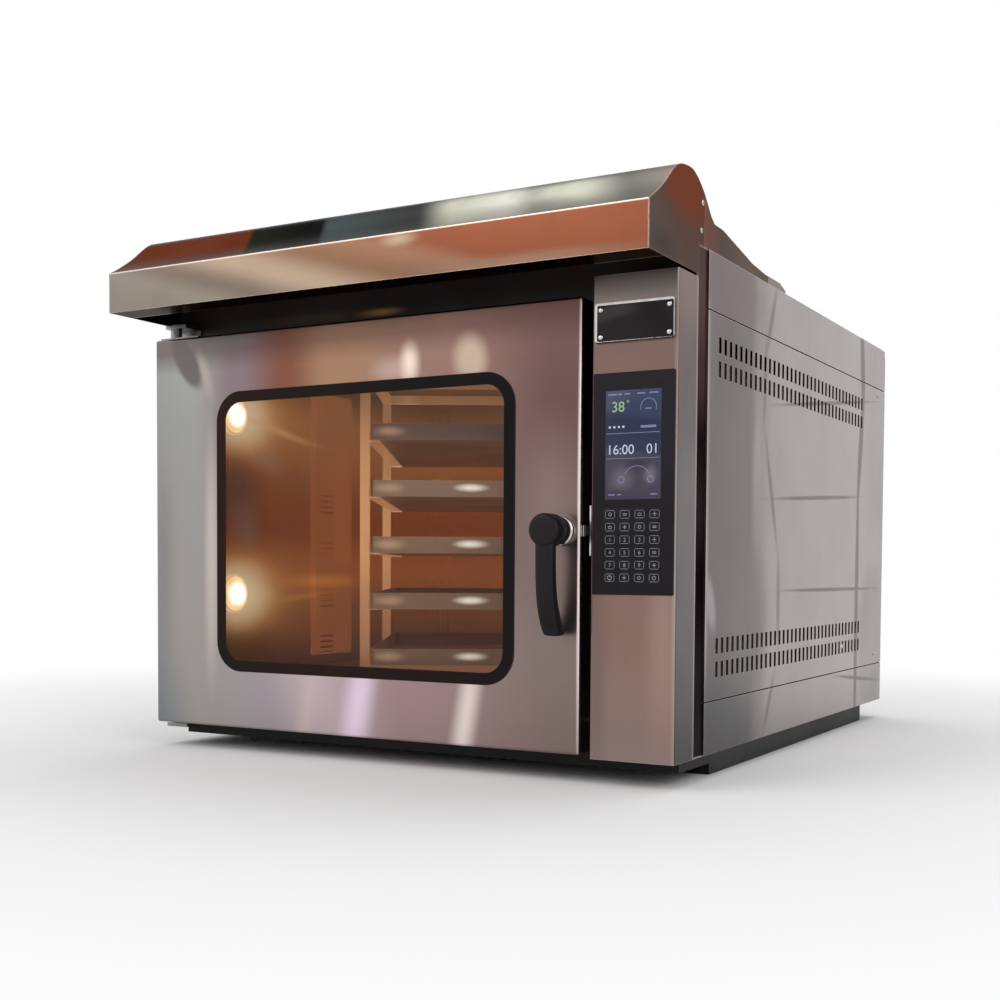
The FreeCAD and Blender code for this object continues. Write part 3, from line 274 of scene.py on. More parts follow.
def patched(tree, spot, under, patches):
    """Lays patches over a tone. Each is a centre, sizes, a colour and a strength, then
    the share that is an even core, and a turn in degrees, where it has them."""
    for centre, sizes, tone, amount, *rest in patches:
        core, turn = rest + [0, (0, 0, 0)][len(rest):]
        mask = put(
            tree, soft_patch,
            {
                "Vector": spot, "Centre": [c / 1000 for c in centre], "Size": [s / 1000 for s in sizes],
                "Turn": [math.radians(t) for t in turn], "Core": core,
            },
        )["Mask"]
        under = mixed(tree, times(tree, mask, amount), under, colour(*tone))
    return under


def toned(direction, stops, patches=()):
    """Paint for a finish: tones along a direction, with any patches over them."""
    return lambda tree, spot: patched(tree, spot, shades(tree, spot, direction, stops), patches)


def scaled(tree, value, low, high):
    """The middle of a noise's range, spread from low to high."""
    return add(
        tree, "MapRange", {"Value": value, "From Min": 0.3, "From Max": 0.7, "To Min": low, "To Max": high}
    ).outputs["Result"]


def sheet_finish(
    name, paint, stretch, depth=0.16, roughness=0.3, metallic=1.0, edge=(226, 220, 214), edge_share=0.6,
    glance=1.0, shine=0.5,
):
    """Brushed or coated sheet. paint(tree, spot) gives its tones. A low glance dims it when seen edge-on."""
    finish, tree, shader, _ = new_finish(name)
    spot = spot_on(tree)
    grain = put(tree, brushed_grain, {"Vector": spot, "Stretch": stretch, "Depth": depth})
    tone = mixed(tree, 1.0, paint(tree, spot), grain["Shade"], "MULTIPLY")
    # Edges get a painted highlight in the edge tone.
    edge_highlight = times(tree, put(tree, painted_edge_highlight, {"Radius": 0.0014})["Mask"], edge_share)
    tree.links.new(mixed(tree, edge_highlight, tone, colour(*edge)), shader.inputs["Base Color"])
    tree.links.new(scaled(tree, grain["Smudge"], roughness - 0.04, roughness + 0.07), shader.inputs["Roughness"])
    bump = add(tree, "Bump", {"Strength": 0.12, "Distance": 0.0002, "Height": grain["Height"]})
    tree.links.new(bump.outputs[0], shader.inputs["Normal"])
    shader.inputs["Metallic"].default_value = metallic
    shader.inputs["Specular Tint"].default_value = (glance, glance, glance, 1)
    shader.inputs["Specular IOR Level"].default_value = shine
    return finish


def dress(finish, *nodes):
    """Gives CAD nodes their finish."""
    for node in nodes:
        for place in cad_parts[node].material_slots:
            place.material = finish


# The base frame's black is painted darker towards the floor, as shade.
satin_black = sheet_finish(
    "satin_black", toned((0, 0, 1), [(0, (18, 15, 16)), (40, (27, 23, 24))]), (60, 60, 60),
    depth=0.3, roughness=0.5, metallic=0.0, edge=(62, 55, 53), edge_share=0.4, shine=0.2,
)
dress(satin_black, "base_frame")


def zinc_tone(tree, spot):
    """The flaked pattern of hot-dipped zinc."""
    flakes = add(tree, "TexVoronoi", {"Vector": spot, "Scale": 55.0}).outputs["Color"]
    grey = add(tree, "RGBToBW", {"Color": flakes}).outputs[0]
    level = add(tree, "CombineXYZ", {"X": grey}).outputs[0]
    return shades(tree, level, (1, 0, 0), [(200, (128, 131, 134)), (800, (170, 173, 176))])


zinc_coat = sheet_finish("zinc_coat", zinc_tone, (40, 40, 40), roughness=0.42)
dress(zinc_coat, "bottom_pan", "rack_bearings")

# ---- Sides, rear and top --------------------------------------------------------
# Brushed stainless panels folded at their edges and screwed to the posts. The right
# side is in three panels, the middle one punched with four rows of cooling slots.

right_face = 487.5
# The side's tones along its depth and its soft patches are painted reflections of the room; the thin dark bands are
# painted reflections of tile joints.
side_tones = [
    (114, (150, 138, 134)), (119, (150, 138, 134)), (124, (96, 85, 83)), (145, (90, 79, 77)), (300, (95, 84, 81)),
    (345, (130, 120, 118)), (420, (146, 136, 134)), (520, (150, 140, 139)), (900, (151, 141, 140)),
    (1160, (141, 134, 135)),
]
soft_reflections = [
    ((170, 60), (240, 170), 0, (66, 64, 67), 0.95, 0.3), ((300, 240), (130, 190), 8, (92, 87, 85), 0.9, 0.3),
    ((170, 740), (230, 70), 0, (96, 76, 75), 0.85, 0.3), ((200, 640), (110, 70), 0, (82, 71, 71), 0.8, 0.2),
    ((338, 500), (30, 100), -6, (146, 136, 134), 0.7, 0), ((136, 262), (26, 60), 20, (140, 134, 140), 0.9, 0.3),
    ((402, 722), (14, 90), -24, (92, 82, 81), 0.85, 0.2), ((373, 618), (13, 110), -3, (100, 90, 89), 0.85, 0.2),
    ((412, 440), (13, 140), 20, (92, 82, 81), 0.85, 0.2), ((455, 262), (12, 110), 2, (88, 79, 79), 0.85, 0.2),
    ((414, 95), (12, 80), -29, (92, 84, 84), 0.8, 0.2), ((978, 722), (21, 110), 8, (72, 61, 63), 1.0, 0.5),
    ((971, 560), (19, 150), -8, (72, 62, 64), 1.0, 0.5), ((957, 250), (17, 340), 0, (72, 63, 65), 1.0, 0.5),
    ((1070, 170), (120, 190), 0, (126, 120, 118), 0.85, 0.5),
]
joint_reflections = [((750, 625), 440, 6.7), ((690, 446), 370, 3.1), ((800, 277), 420, -0.2), ((980, 95), 220, -5.2)]
reflected_joint_width = 5
side_patches = [
    ((right_face, y, z), (60, across, along), tone, amount, core, (turn, 0, 0))
    for (y, z), (across, along), turn, tone, amount, core in soft_reflections
] + [
    ((right_face, y, z), (60, along, reflected_joint_width), (76, 66, 67), 0.95, 0.4, (turn, 0, 0))
    for (y, z), along, turn in joint_reflections
]
side_steel = sheet_finish(
    "side_steel", toned((0, 1, 0), side_tones, side_patches), (900, 900, 14),
    depth=0.1, roughness=0.24, edge=(196, 186, 182), edge_share=0.7,
)
dress(side_steel, "side_right_upper", "side_right_middle", "side_right_lower")

# Painted light: lighter towards the top and rear, with one soft painted highlight.
plain_steel = sheet_finish(
    "plain_steel",
    toned(
        (0, 0.5, 0.8), [(0, (146, 142, 140)), (500, (168, 163, 160)), (1200, (152, 148, 147))],
        [((-300, 900, 400), (300, 300, 300), (182, 178, 174), 0.5)],
    ),
    (10, 10, 800), depth=0.12, roughness=0.3,
)
dress(plain_steel, "side_left", "rear_cover", "top_cover")

# The posts' tones up their height are painted reflections, and a painted highlight runs along the right edge.
post_steel = sheet_finish(
    "post_steel",
    toned(
        (0, 0, 1),
        [(38, (62, 59, 60)), (140, (52, 48, 49)), (300, (38, 35, 36)), (400, (52, 47, 48)), (500, (43, 39, 38)),
         (600, (82, 67, 66)), (720, (104, 85, 82)), (778, (102, 83, 80))],
        [((right_face, 72, 400), (30, 9, 1500), (140, 127, 124), 0.95, 0.6)],
    ),
    (700, 700, 8), depth=0.3, roughness=0.3, edge=(190, 176, 170), edge_share=0.7, glance=0.4,
)
dress(post_steel, "corner_posts")

# ---- Casing screws ---------------------------------------------------------------
# Stainless button-head screws with a round driver recess, driven through the panels
# into the posts. Four hold each side and four each edge of the rear cover.

screw_seats = [
    (side * right_face, y, z, side)
    for side in (1, -1)
    for y, z in ((81, 798), (85, 838), (1102.9, 678), (1102.9, 138))
]
rear_face, rear_spacing = 1159.9, 220
rear_seats = [(side * 472, rear_face, 78 + i * rear_spacing) for side in (1, -1) for i in range(4)]
screw_profile = [(4.0, 0), (4.0, 0.5), (3.5, 1.2), (2.4, 1.7), (1.7, 1.8), (1.5, 0.6), (0, 0.6)]


def turned(form, profile, seat, axis, steps=28):
    """A turned part: its outline, as (radius, along) in mm, is spun round the axis that leaves its seat."""
    before = set(form.verts)
    outline = [form.verts.new((radius, 0, along)) for radius, along in profile]
    lines = [form.edges.new(pair) for pair in zip(outline[:-1], outline[1:])]
    bmesh.ops.spin(
        form, geom=outline + lines, cent=(0, 0, 0), axis=(0, 0, 1), angle=2 * math.pi, steps=steps, use_merge=True
    )
    made = [vert for vert in form.verts if vert not in before]
    bmesh.ops.remove_doubles(form, verts=made, dist=0.0005)
    made = [vert for vert in form.verts if vert not in before]
    bmesh.ops.recalc_face_normals(form, faces=list({face for vert in made for face in vert.link_faces}))
    turn = Vector((0, 0, 1)).rotation_difference(Vector(axis)).to_matrix().to_4x4()
    bmesh.ops.transform(form, matrix=Matrix.Translation(seat) @ turn, verts=made)


def finish_piece(name, form, finish, body, sharp=38):
    """Turns a form drawn in mm into a finished piece that rides on a body."""
    bmesh.ops.scale(form, vec=(0.001, 0.001, 0.001), verts=form.verts)
    bmesh.ops.translate(form, vec=(0, -footprint_mid, 0), verts=form.verts)
    mesh = bpy.data.meshes.new(name)
    form.to_mesh(mesh)
    form.free()
    mesh.polygons.foreach_set("use_smooth", [True] * len(mesh.polygons))
    mesh.set_sharp_from_angle(angle=math.radians(sharp))
    mesh.materials.append(finish)
    made = bpy.data.objects.new(name, mesh)
    bpy.context.scene.collection.objects.link(made)
    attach(made, body)
    return made


def plain_finish(name, tone, dark, roughness, metallic=0.0, scale=40.0, depth=0.05, shine=0.5):
    """A cast, moulded or polished surface with a fine mottle between two tones."""
    finish, tree, shader, _ = new_finish(name)
    spot = spot_on(tree)
    mottle = noise(tree, spot, scale, 4.0, 0.6)
    darker = times(tree, scaled(tree, mottle, 0.0, 1.0), 0.5)
    tree.links.new(mixed(tree, darker, colour(*tone), colour(*dark)), shader.inputs["Base Color"])
    tree.links.new(scaled(tree, mottle, roughness - 0.03, roughness + 0.06), shader.inputs["Roughness"])
    bump = add(tree, "Bump", {"Strength": depth, "Distance": 0.0005, "Height": mottle})
    tree.links.new(bump.outputs[0], shader.inputs["Normal"])
    shader.inputs["Metallic"].default_value = metallic
    shader.inputs["Specular IOR Level"].default_value = shine
    return finish


polished_screw = plain_finish("polished_screw", (196, 190, 186), (128, 122, 118), 0.2, 1.0, scale=300.0)
screws = bmesh.new()
for x, y, z, side in screw_seats:
    turned(screws, screw_profile, (x, y, z), (side, 0, 0))
for seat in rear_seats:
    turned(screws, screw_profile, seat, (0, 1, 0))
screws = finish_piece("casing_screw_heads", screws, polished_screw, "casing")
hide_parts("casing_screws")

# ---- Steam hood ------------------------------------------------------------------
# One bent and polished sheet with a flat front, closed by two end panels. The sloping
# cover behind it is the same steel. A slotted filter panel closes it from below.

front_face, hood_shoulder = -105.5, 801.0
fascia_slant, fascia_height = 3.4, 770
lip_middle, lip_edge, lip_height = -77, -52.5, 735.5
# The fascia and slope tones are painted reflections of the room.
fascia_tones = [
    (-540, (140, 130, 120)), (-400, (140, 130, 120)), (-280, (120, 105, 95)), (-155, (160, 140, 120)),
    (0, (120, 90, 70)), (100, (130, 95, 75)), (200, (120, 70, 50)), (540, (120, 70, 50)),
]
slope_tones = [
    (-500, (150, 95, 75)), (-268, (145, 90, 75)), (-258, (80, 80, 75)), (-122, (70, 70, 70)), (-106, (110, 120, 120)),
    (60, (100, 100, 100)), (125, (240, 240, 220)), (210, (245, 240, 230)), (260, (185, 185, 175)),
    (320, (190, 190, 175)), (410, (120, 120, 115)), (480, (140, 130, 125)),
]


def past(tree, spot, axis, low, high, most=1.0):
    """Rises from 0 to most between two places on an axis, in mm."""
    place = add(tree, "SeparateXYZ", {0: spot}).outputs[axis]
    return add(
        tree, "MapRange", {"Value": place, "From Min": low / 1000, "From Max": high / 1000, "To Max": most}
    ).outputs["Result"]


def hood_paint(tree, spot):
    """The fascia and the slope above its fold, with painted reflections; a painted highlight on the fold, and the lip
    below in painted shade with a painted highlight on its edge.
    """
    # The fascia's patches are painted reflections.
    front = toned(
        (1, 0, fascia_slant), [(at + fascia_slant * fascia_height, tone) for at, tone in fascia_tones],
        [
            ((92, front_face, 792), (46, 20, 16), (156, 136, 112), 0.9),
            ((300, front_face, 738), (260, 20, 18), (130, 104, 88), 0.8),
        ],
    )(tree, spot)
    above = shades(tree, spot, (1, 0.57, 0), slope_tones)
    on_slope = past(tree, spot, "Z", hood_shoulder - 0.5, hood_shoulder + 2)
    # Painted highlight on the fold, painted shade on the lip, painted highlight on its edge.
    return patched(
        tree, spot, mixed(tree, on_slope, front, above),
        [
            ((0, front_face, hood_shoulder), (9000, 6, 3), (228, 210, 198), 1.0),
            ((0, lip_middle, lip_height - 1), (9000, 26.5, 2.6), (92, 74, 62), 1.0, 0.9),
            ((0, lip_edge, lip_height), (9000, 4, 6), (250, 234, 216), 1.0, 0.4),
        ],
    )


hood_steel = sheet_finish(
    "hood_steel", hood_paint, (7, 500, 500), depth=0.1, roughness=0.2, edge=(236, 220, 206), edge_share=0.6,
    glance=0.3,
)
dress(hood_steel, "hood_skin")

# The hood's ends carry painted reflections, a warm copper-orange one near the top.
end_steel = sheet_finish(
    "end_steel",
    toned(
        (0, 0.6, 0.8), [(560, (98, 84, 79)), (640, (98, 74, 66)), (720, (110, 66, 50))],
        [
            ((right_face, 20, 845), (60, 110, 60), (126, 62, 39), 0.9, 0.3),
            ((right_face, -60, 750), (60, 80, 34), (78, 69, 66), 0.8),
        ],
    ),
    (500, 500, 9), depth=0.16, roughness=0.26, edge=(196, 178, 166), edge_share=0.6, glance=0.5,
)
dress(end_steel, "hood_ends")


# Painted reflections on the covers' top and flank.
cover_tones = [(-500, (140, 130, 124)), (0, (158, 150, 146)), (300, (176, 168, 162)), (600, (150, 140, 136))]
cover_flank_tones = [
    (95, (116, 68, 54)), (135, (104, 68, 56)), (165, (84, 70, 60)), (290, (98, 84, 72)), (379, (92, 72, 58)),
    (381, (150, 142, 138)), (660, (150, 143, 140)),
]


def on_flank(tree, spot):
    return past(tree, spot, "X", right_face - 1.3, right_face - 0.3)


def cover_paint(tree, spot):
    """The top of the covers, and their right flank, with painted reflections; near the hood the flank has the
    copper-orange painted reflection of the hood's end.
    """
    above = shades(tree, spot, (1, 0.2, 0), cover_tones)
    return mixed(tree, on_flank(tree, spot), above, shades(tree, spot, (0, 1, 0), cover_flank_tones))


cover_steel = sheet_finish("cover_steel", cover_paint, (8, 500, 500), depth=0.14, roughness=0.26, glance=0.6)
dress(cover_steel, "top_fairing")

# The filter's dark browns are painted shade under the hood, darker towards the back.
filter_steel = sheet_finish(
    "filter_steel", toned((0, 1, 0), [(-30, (66, 54, 46)), (20, (54, 42, 35)), (68, (44, 33, 28))]),
    (300, 12, 300), depth=0.3, roughness=0.34, edge=(150, 130, 112), edge_share=0.5,
)
dress(filter_steel, "hood_filter")

# ---- Front frame, gasket and hinges -------------------------------------------------
# A black-coated frame round the mouth carries the silicone door gasket. Forged brackets
# hold the hinge pins above and below the door.

# Painted reflections: the black frame lighter near its top, with a painted golden glint and a warm reflection under
# the hood.
frame_black = sheet_finish(
    "frame_black",
    toned(
        (0, 0, 1), [(38, (26, 24, 26)), (690, (30, 25, 24)), (778, (44, 33, 28))],
        [
            ((-60, 68, 728), (60, 30, 9), (226, 166, 96), 0.9),
            ((-200, 68, 730), (210, 30, 14), (86, 60, 40), 0.7),
        ],
    ),
    (12, 300, 300), depth=0.25, roughness=0.32, metallic=0.0, edge=(70, 58, 50), edge_share=0.4,
)
dress(frame_black, "front_frame")

gasket_rubber = plain_finish("gasket_rubber", (38, 36, 38), (24, 22, 23), 0.62, scale=160.0, depth=0.2)
dress(gasket_rubber, "door_gasket")

cap_profile = [
    (0, 4.675), (1.98, 4.675), (2.52, 4.07), (4.14, 4.07), (6.84, 3.52), (7.74, 2.97), (7.74, 0),
]
bolt_profile = [(5.6, 0), (5.6, 1.0), (4.8, 2.6), (2.8, 3.4), (2.4, 3.4), (2.2, 1.4), (0, 1.4)]
hinge_zinc = plain_finish("hinge_zinc", (150, 148, 146), (96, 92, 90), 0.34, 1.0, scale=60.0)
hinge_caps = bmesh.new()
turned(hinge_caps, cap_profile, (-473.955, 40, 734.4), (0, 0, 1), steps=6)
finish_piece("hinge_cap", hinge_caps, hinge_zinc, "casing", sharp=25)
leaf_bolts = bmesh.new()
for x in (-440, -412):
    turned(leaf_bolts, bolt_profile, (x, 33, 709), (0, 0, 1))
finish_piece("hinge_leaf_bolts", leaf_bolts, polished_screw, "door")
dress(hinge_zinc, "hinge_brackets", "hinge_plates")

# ---- Control column ------------------------------------------------------------------
# A brushed box section beside the door, with a bare name plate on top: a black
# enamelled plate in a chromed frame, held by four domed studs.

# Painted reflections down the column's front and flank.
column_tones = [
    (38, (148, 129, 125)), (90, (141, 120, 113)), (240, (134, 108, 98)), (600, (118, 95, 89)), (640, (113, 92, 86)),
    (692, (120, 110, 105)), (731, (136, 126, 120)),
]
column_side_tones = [
    (38, (69, 67, 68)), (140, (78, 75, 76)), (300, (88, 85, 88)), (440, (99, 92, 93)), (540, (87, 77, 75)),
    (620, (97, 80, 77)), (700, (113, 94, 89)), (731, (115, 95, 90)),
]


def column_paint(tree, spot):
    """The column's front and its right flank, with painted reflections and a painted highlight along their edges."""
    front = toned(
        (0, 0, 1), column_tones,
        [
            ((468, 0, 190), (38, 40, 260), (156, 130, 121), 0.9),
            ((366, 0, 190), (26, 40, 260), (116, 99, 96), 0.7),
            ((486, 0, 300), (7, 40, 600), (172, 156, 152), 0.7),
        ],
    )
    flank = toned(
        (0, 0, 1), column_side_tones,
        [((right_face, 73, 400), (20, 7, 1500), (140, 127, 124), 0.95, 0.4)],
    )
    return mixed(tree, on_flank(tree, spot), front(tree, spot), flank(tree, spot))


column_steel = sheet_finish(
    "column_steel", column_paint, (500, 500, 8), depth=0.1, roughness=0.3, edge=(214, 196, 186), edge_share=0.75
)
dress(column_steel, "control_column")


same_place = 1e-4


def edges_of(verts):
    return {edge for vert in verts for edge in vert.link_edges}


def front_plate(form, x0, x1, y0, y1, z0, z1, corner, edge):
    """A flat plate facing the front, with round corners and a small round-over in front."""
    before = set(form.verts)
    bmesh.ops.create_cube(form, size=1.0)
    made = [vert for vert in form.verts if vert not in before]
    bmesh.ops.scale(form, vec=(x1 - x0, y1 - y0, z1 - z0), verts=made)
    bmesh.ops.translate(form, vec=((x0 + x1) / 2, (y0 + y1) / 2, (z0 + z1) / 2), verts=made)
    deep = [e for e in edges_of(made) if abs(e.verts[0].co.y - e.verts[1].co.y) > same_place]
    bmesh.ops.bevel(form, geom=deep, offset=corner, affect="EDGES", segments=6, profile=0.5, material=-1)
    made = [vert for vert in form.verts if vert not in before]
    rim = [e for e in edges_of(made) if all(abs(v.co.y - y0) < same_place for v in e.verts)]
    if edge:
        bmesh.ops.bevel(form, geom=rim, offset=edge, affect="EDGES", segments=3, profile=0.5, material=-1)
    return [vert for vert in form.verts if vert not in before]


def front_ring(form, x0, x1, y0, y1, z0, z1, corner, width, edge):
    """A frame facing the front: a plate whose face is inset and pushed back."""
    made = front_plate(form, x0, x1, y0, y1, z0, z1, corner, 0)
    face = min({f for v in made for f in v.link_faces}, key=lambda f: f.calc_center_median().y)
    bmesh.ops.inset_region(form, faces=[face], thickness=width, use_even_offset=True)
    bmesh.ops.translate(form, vec=(0, (y1 - y0) * 0.55, 0), verts=face.verts)
    crown = [
        e for e in edges_of(made + list(face.verts)) if all(abs(v.co.y - y0) < same_place for v in e.verts)
    ]
    bmesh.ops.bevel(form, geom=crown, offset=edge, affect="EDGES", segments=2, profile=0.5, material=-1)


chrome_trim = plain_finish("chrome_trim", (214, 210, 210), (150, 144, 144), 0.12, 1.0, scale=90.0, depth=0.02)
rim_box = (360.2, 483.0, -3.0, -0.05, 634, 691)
enamel_box = (363.4, 479.8, -2.2, -0.4, 637.2, 687.8)
stud_profile = [(3.6, 0), (3.6, 0.5), (3.0, 1.1), (1.8, 1.4), (0, 1.5)]
plate_rim = bmesh.new()
front_ring(plate_rim, *rim_box, corner=5.0, width=2.6, edge=0.7)
plate_rim = finish_piece("nameplate_frame", plate_rim, chrome_trim, "casing")
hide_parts("nameplate")

enamel, tree, shader, _ = new_finish("black_enamel")
spot = spot_on(tree)
sheen_tones = [(590, (20, 17, 19)), (800, (34, 29, 32)), (860, (24, 20, 23)), (910, (40, 35, 38))]
sheen = shades(tree, spot, (1, 0, 0.6), sheen_tones)
dust = noise(tree, spot, 420.0, 2.0)
speck = add(tree, "MapRange", {"Value": dust, "From Min": 0.68, "From Max": 0.8, "To Max": 0.12}).outputs["Result"]
tree.links.new(mixed(tree, speck, sheen, colour(120, 112, 112)), shader.inputs["Base Color"])
tree.links.new(scaled(tree, dust, 0.1, 0.18), shader.inputs["Roughness"])
shader.inputs["Specular IOR Level"].default_value = 0.15
plate = bmesh.new()
front_plate(plate, *enamel_box, corner=2.0, edge=0.6)
finish_piece("nameplate_enamel", plate, enamel, "casing")
studs = bmesh.new()
for x in (369.1, 474.1):
    for z in (643.2, 681.8):
        turned(studs, stud_profile, (x, -2.1, z), (0, -1, 0), steps=20)
finish_piece("nameplate_studs", studs, chrome_trim, "casing")

# ---- Control panel ---------------------------------------------------------------------
# One pane of back-printed glass over a lit colour screen, with a touch keypad of four by
# six keys below it. The screen shows plain numbers, a dial and a progress bar.

panel_glass, tree, shader, _ = new_finish("panel_glass")
spot = spot_on(tree)
# The black glass gets a painted reflection, lighter towards the top.
veil_tones = [(370, (23, 21, 22)), (520, (26, 22, 26)), (640, (34, 32, 38)), (720, (34, 31, 35))]
veil = shades(tree, spot, (0.3, 0, 1), veil_tones)
prints = noise(tree, spot, 26.0, 5.0, 0.7)
tree.links.new(mixed(tree, scaled(tree, prints, 0.0, 0.25), veil, colour(44, 40, 46)), shader.inputs["Base Color"])
tree.links.new(scaled(tree, prints, 0.07, 0.2), shader.inputs["Roughness"])
shader.inputs["Specular IOR Level"].default_value = 0.12
dress(panel_glass, "control_glass")


def lit_finish(name, paint, level):
    """A surface that shines by itself: a screen or a lamp."""
    finish, tree, shader, _ = new_finish(name)
    tone = paint(tree, spot_on(tree))
    tree.links.new(tone, shader.inputs["Emission Color"])
    shader.inputs["Emission Strength"].default_value = level
    tree.links.new(mixed(tree, 0.85, tone, colour(20, 20, 24)), shader.inputs["Base Color"])
    shader.inputs["Roughness"].default_value = 0.15
    shader.inputs["Specular IOR Level"].default_value = 0.2
    return finish


screen_tones = [
    (470, (84, 77, 94)), (520, (91, 86, 106)), (541, (84, 83, 108)), (545, (56, 64, 98)), (585, (46, 56, 90)),
    (600, (64, 76, 116)), (634, (72, 85, 126)),
]
panel_face, print_depth = -3.38, 0.12
screen_box = (378.9, 464.4, -3.4, -3.0, 412, 566)


def screen_paint(tree, spot):
    """Blue fields behind the figures, with a fine grid of pixels."""
    fields = toned(
        (0.15, 0, 1), screen_tones,
        [
            ((404, -3, 440), (26, 30, 30), (148, 136, 152), 0.8, 0, (0, 20, 0)),
            ((448, -3, 446), (14, 30, 20), (160, 150, 162), 0.8),
            ((428, -3, 462), (30, 30, 18), (70, 62, 84), 0.8),
            ((400, -3, 420), (30, 30, 14), (78, 66, 84), 0.7),
        ],
    )
    grid = noise(tree, spot, 900.0, 1.0)
    return mixed(tree, scaled(tree, grid, 0.0, 0.18), fields(tree, spot), colour(24, 26, 44))


screen_finish = lit_finish("screen_light", screen_paint, 0.42)
screen = bmesh.new()
front_plate(screen, *screen_box, corner=1.5, edge=0.15)
screen = finish_piece("screen", screen, screen_finish, "casing")
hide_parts("display")


def figures(form, words, x, z, height, face_y=panel_face, depth=print_depth):
    """Plain figures standing on the panel, their lower left corner at x and z."""
    text = bpy.data.curves.new("figures", "FONT")
    text.body = words
    text.size = height * 1.38
    text.extrude = depth / 2
    holder = bpy.data.objects.new("figures", text)
    mesh = bpy.data.meshes.new_from_object(holder)
    before = set(form.verts)
    form.from_mesh(mesh)
    made = [vert for vert in form.verts if vert not in before]
    turn = Matrix.Translation((x, face_y - depth / 2, z)) @ Matrix.Rotation(math.radians(90), 4, "X")
    bmesh.ops.transform(form, matrix=turn, verts=made)
    bpy.data.objects.remove(holder)
    bpy.data.curves.remove(text)
    bpy.data.meshes.remove(mesh)


def bar(form, x, z, width, height, y0=panel_face - print_depth, y1=panel_face):
    """A thin printed or lit bar on the panel's face."""
    front_plate(form, x, x + width, y0, y1, z, z + height, min(width, height) * 0.3, 0)


def arc(
    form, x, z, radius, line, first, last, steps=14, y0=panel_face - print_depth, y1=panel_face,
):
    """A thin curved line on the panel's face, swept between two angles in degrees."""
    before = set(form.verts)
    start = math.radians(first)
    corners = [(radius - line / 2, y0), (radius + line / 2, y0), (radius + line / 2, y1), (radius - line / 2, y1)]
    ring = [form.verts.new((x + r * math.cos(start), y, z + r * math.sin(start))) for r, y in corners]
    cap = form.faces.new(ring)
    bmesh.ops.spin(
        form, geom=[cap] + list(cap.edges) + ring, cent=(x, 0, z), axis=(0, -1, 0),
        angle=math.radians(last - first), steps=steps, use_merge=abs(last - first) > 359,
    )
    made = [vert for vert in form.verts if vert not in before]
    bmesh.ops.recalc_face_normals(form, faces=list({f for v in made for f in v.link_faces}))


def even_light(name, tone, dim, level):
    """The light of figures on the screen, a little uneven from pixel to pixel."""
    def paint(tree, spot):
        grain = scaled(tree, noise(tree, spot, 700.0, 1.0), 0.0, 1.0)
        return mixed(tree, grain, colour(*tone), colour(*dim))
    return lit_finish(name, paint, level)


green_light = even_light("green_light", (176, 206, 138), (138, 176, 122), 0.8)
white_light = even_light("white_light", (214, 216, 236), (180, 184, 214), 0.8)
soft_light = even_light("soft_light", (150, 152, 186), (118, 122, 164), 0.7)

readout = bmesh.new()
figures(readout, "38", 388, 536, 15)
arc(readout, 413.5, 550, 1.5, 0.8, 0, 360, steps=12)
finish_piece("screen_reading", readout, green_light, "casing")

clock = bmesh.new()
figures(clock, "16:00", 381, 476, 14)
figures(clock, "01", 442, 476, 14)
for x in (384, 391, 398, 405):
    bar(clock, x, 513, 3.4, 3.0)
finish_piece("screen_clock", clock, white_light, "casing")

marks = bmesh.new()
arc(marks, 445, 541, 12, 1.0, -20, 200)
bar(marks, 440, 538, 10, 1.6)
bar(marks, 433, 512, 24, 3.4)
bar(marks, 380.5, 505, 82, 0.9)
bar(marks, 380.5, 469.5, 82, 0.7)
for x, width in ((383, 13), (398, 6), (408, 9), (428, 12), (446, 14)):
    bar(marks, x, 559.5, width, 2.0)
arc(marks, 428, 438, 21, 1.0, 30, 150)
arc(marks, 404, 440, 4.5, 1.2, 0, 360, steps=18)
arc(marks, 449, 440, 4.5, 1.2, 0, 360, steps=18)
for x, width in ((384, 10), (398, 7), (449, 10)):
    bar(marks, x, 418, width, 1.6)
finish_piece("screen_marks", marks, soft_light, "casing")

key_film = plain_finish("key_film", (24, 22, 26), (17, 16, 19), 0.3, scale=200.0, depth=0.1, shine=0.15)
key_sheet = bmesh.new()
film_box = (375.9, 467.4, -3.3, -3.0, 292, 400)
key_columns = [387.3 + 22.875 * i for i in range(4)]
key_rows = [391 - 18 * i for i in range(6)]
key_half_width, key_half_height = 7.5, 5.75
front_plate(key_sheet, *film_box, corner=2.0, edge=0.1)
for x in key_columns:
    for z in key_rows:
        key_box = (x - key_half_width, x + key_half_width, -3.75, -3.28, z - key_half_height, z + key_half_height)
        front_plate(key_sheet, *key_box, corner=1.5, edge=0.2)
key_sheet = finish_piece("keypad_film", key_sheet, key_film, "casing")
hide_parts("keypad")

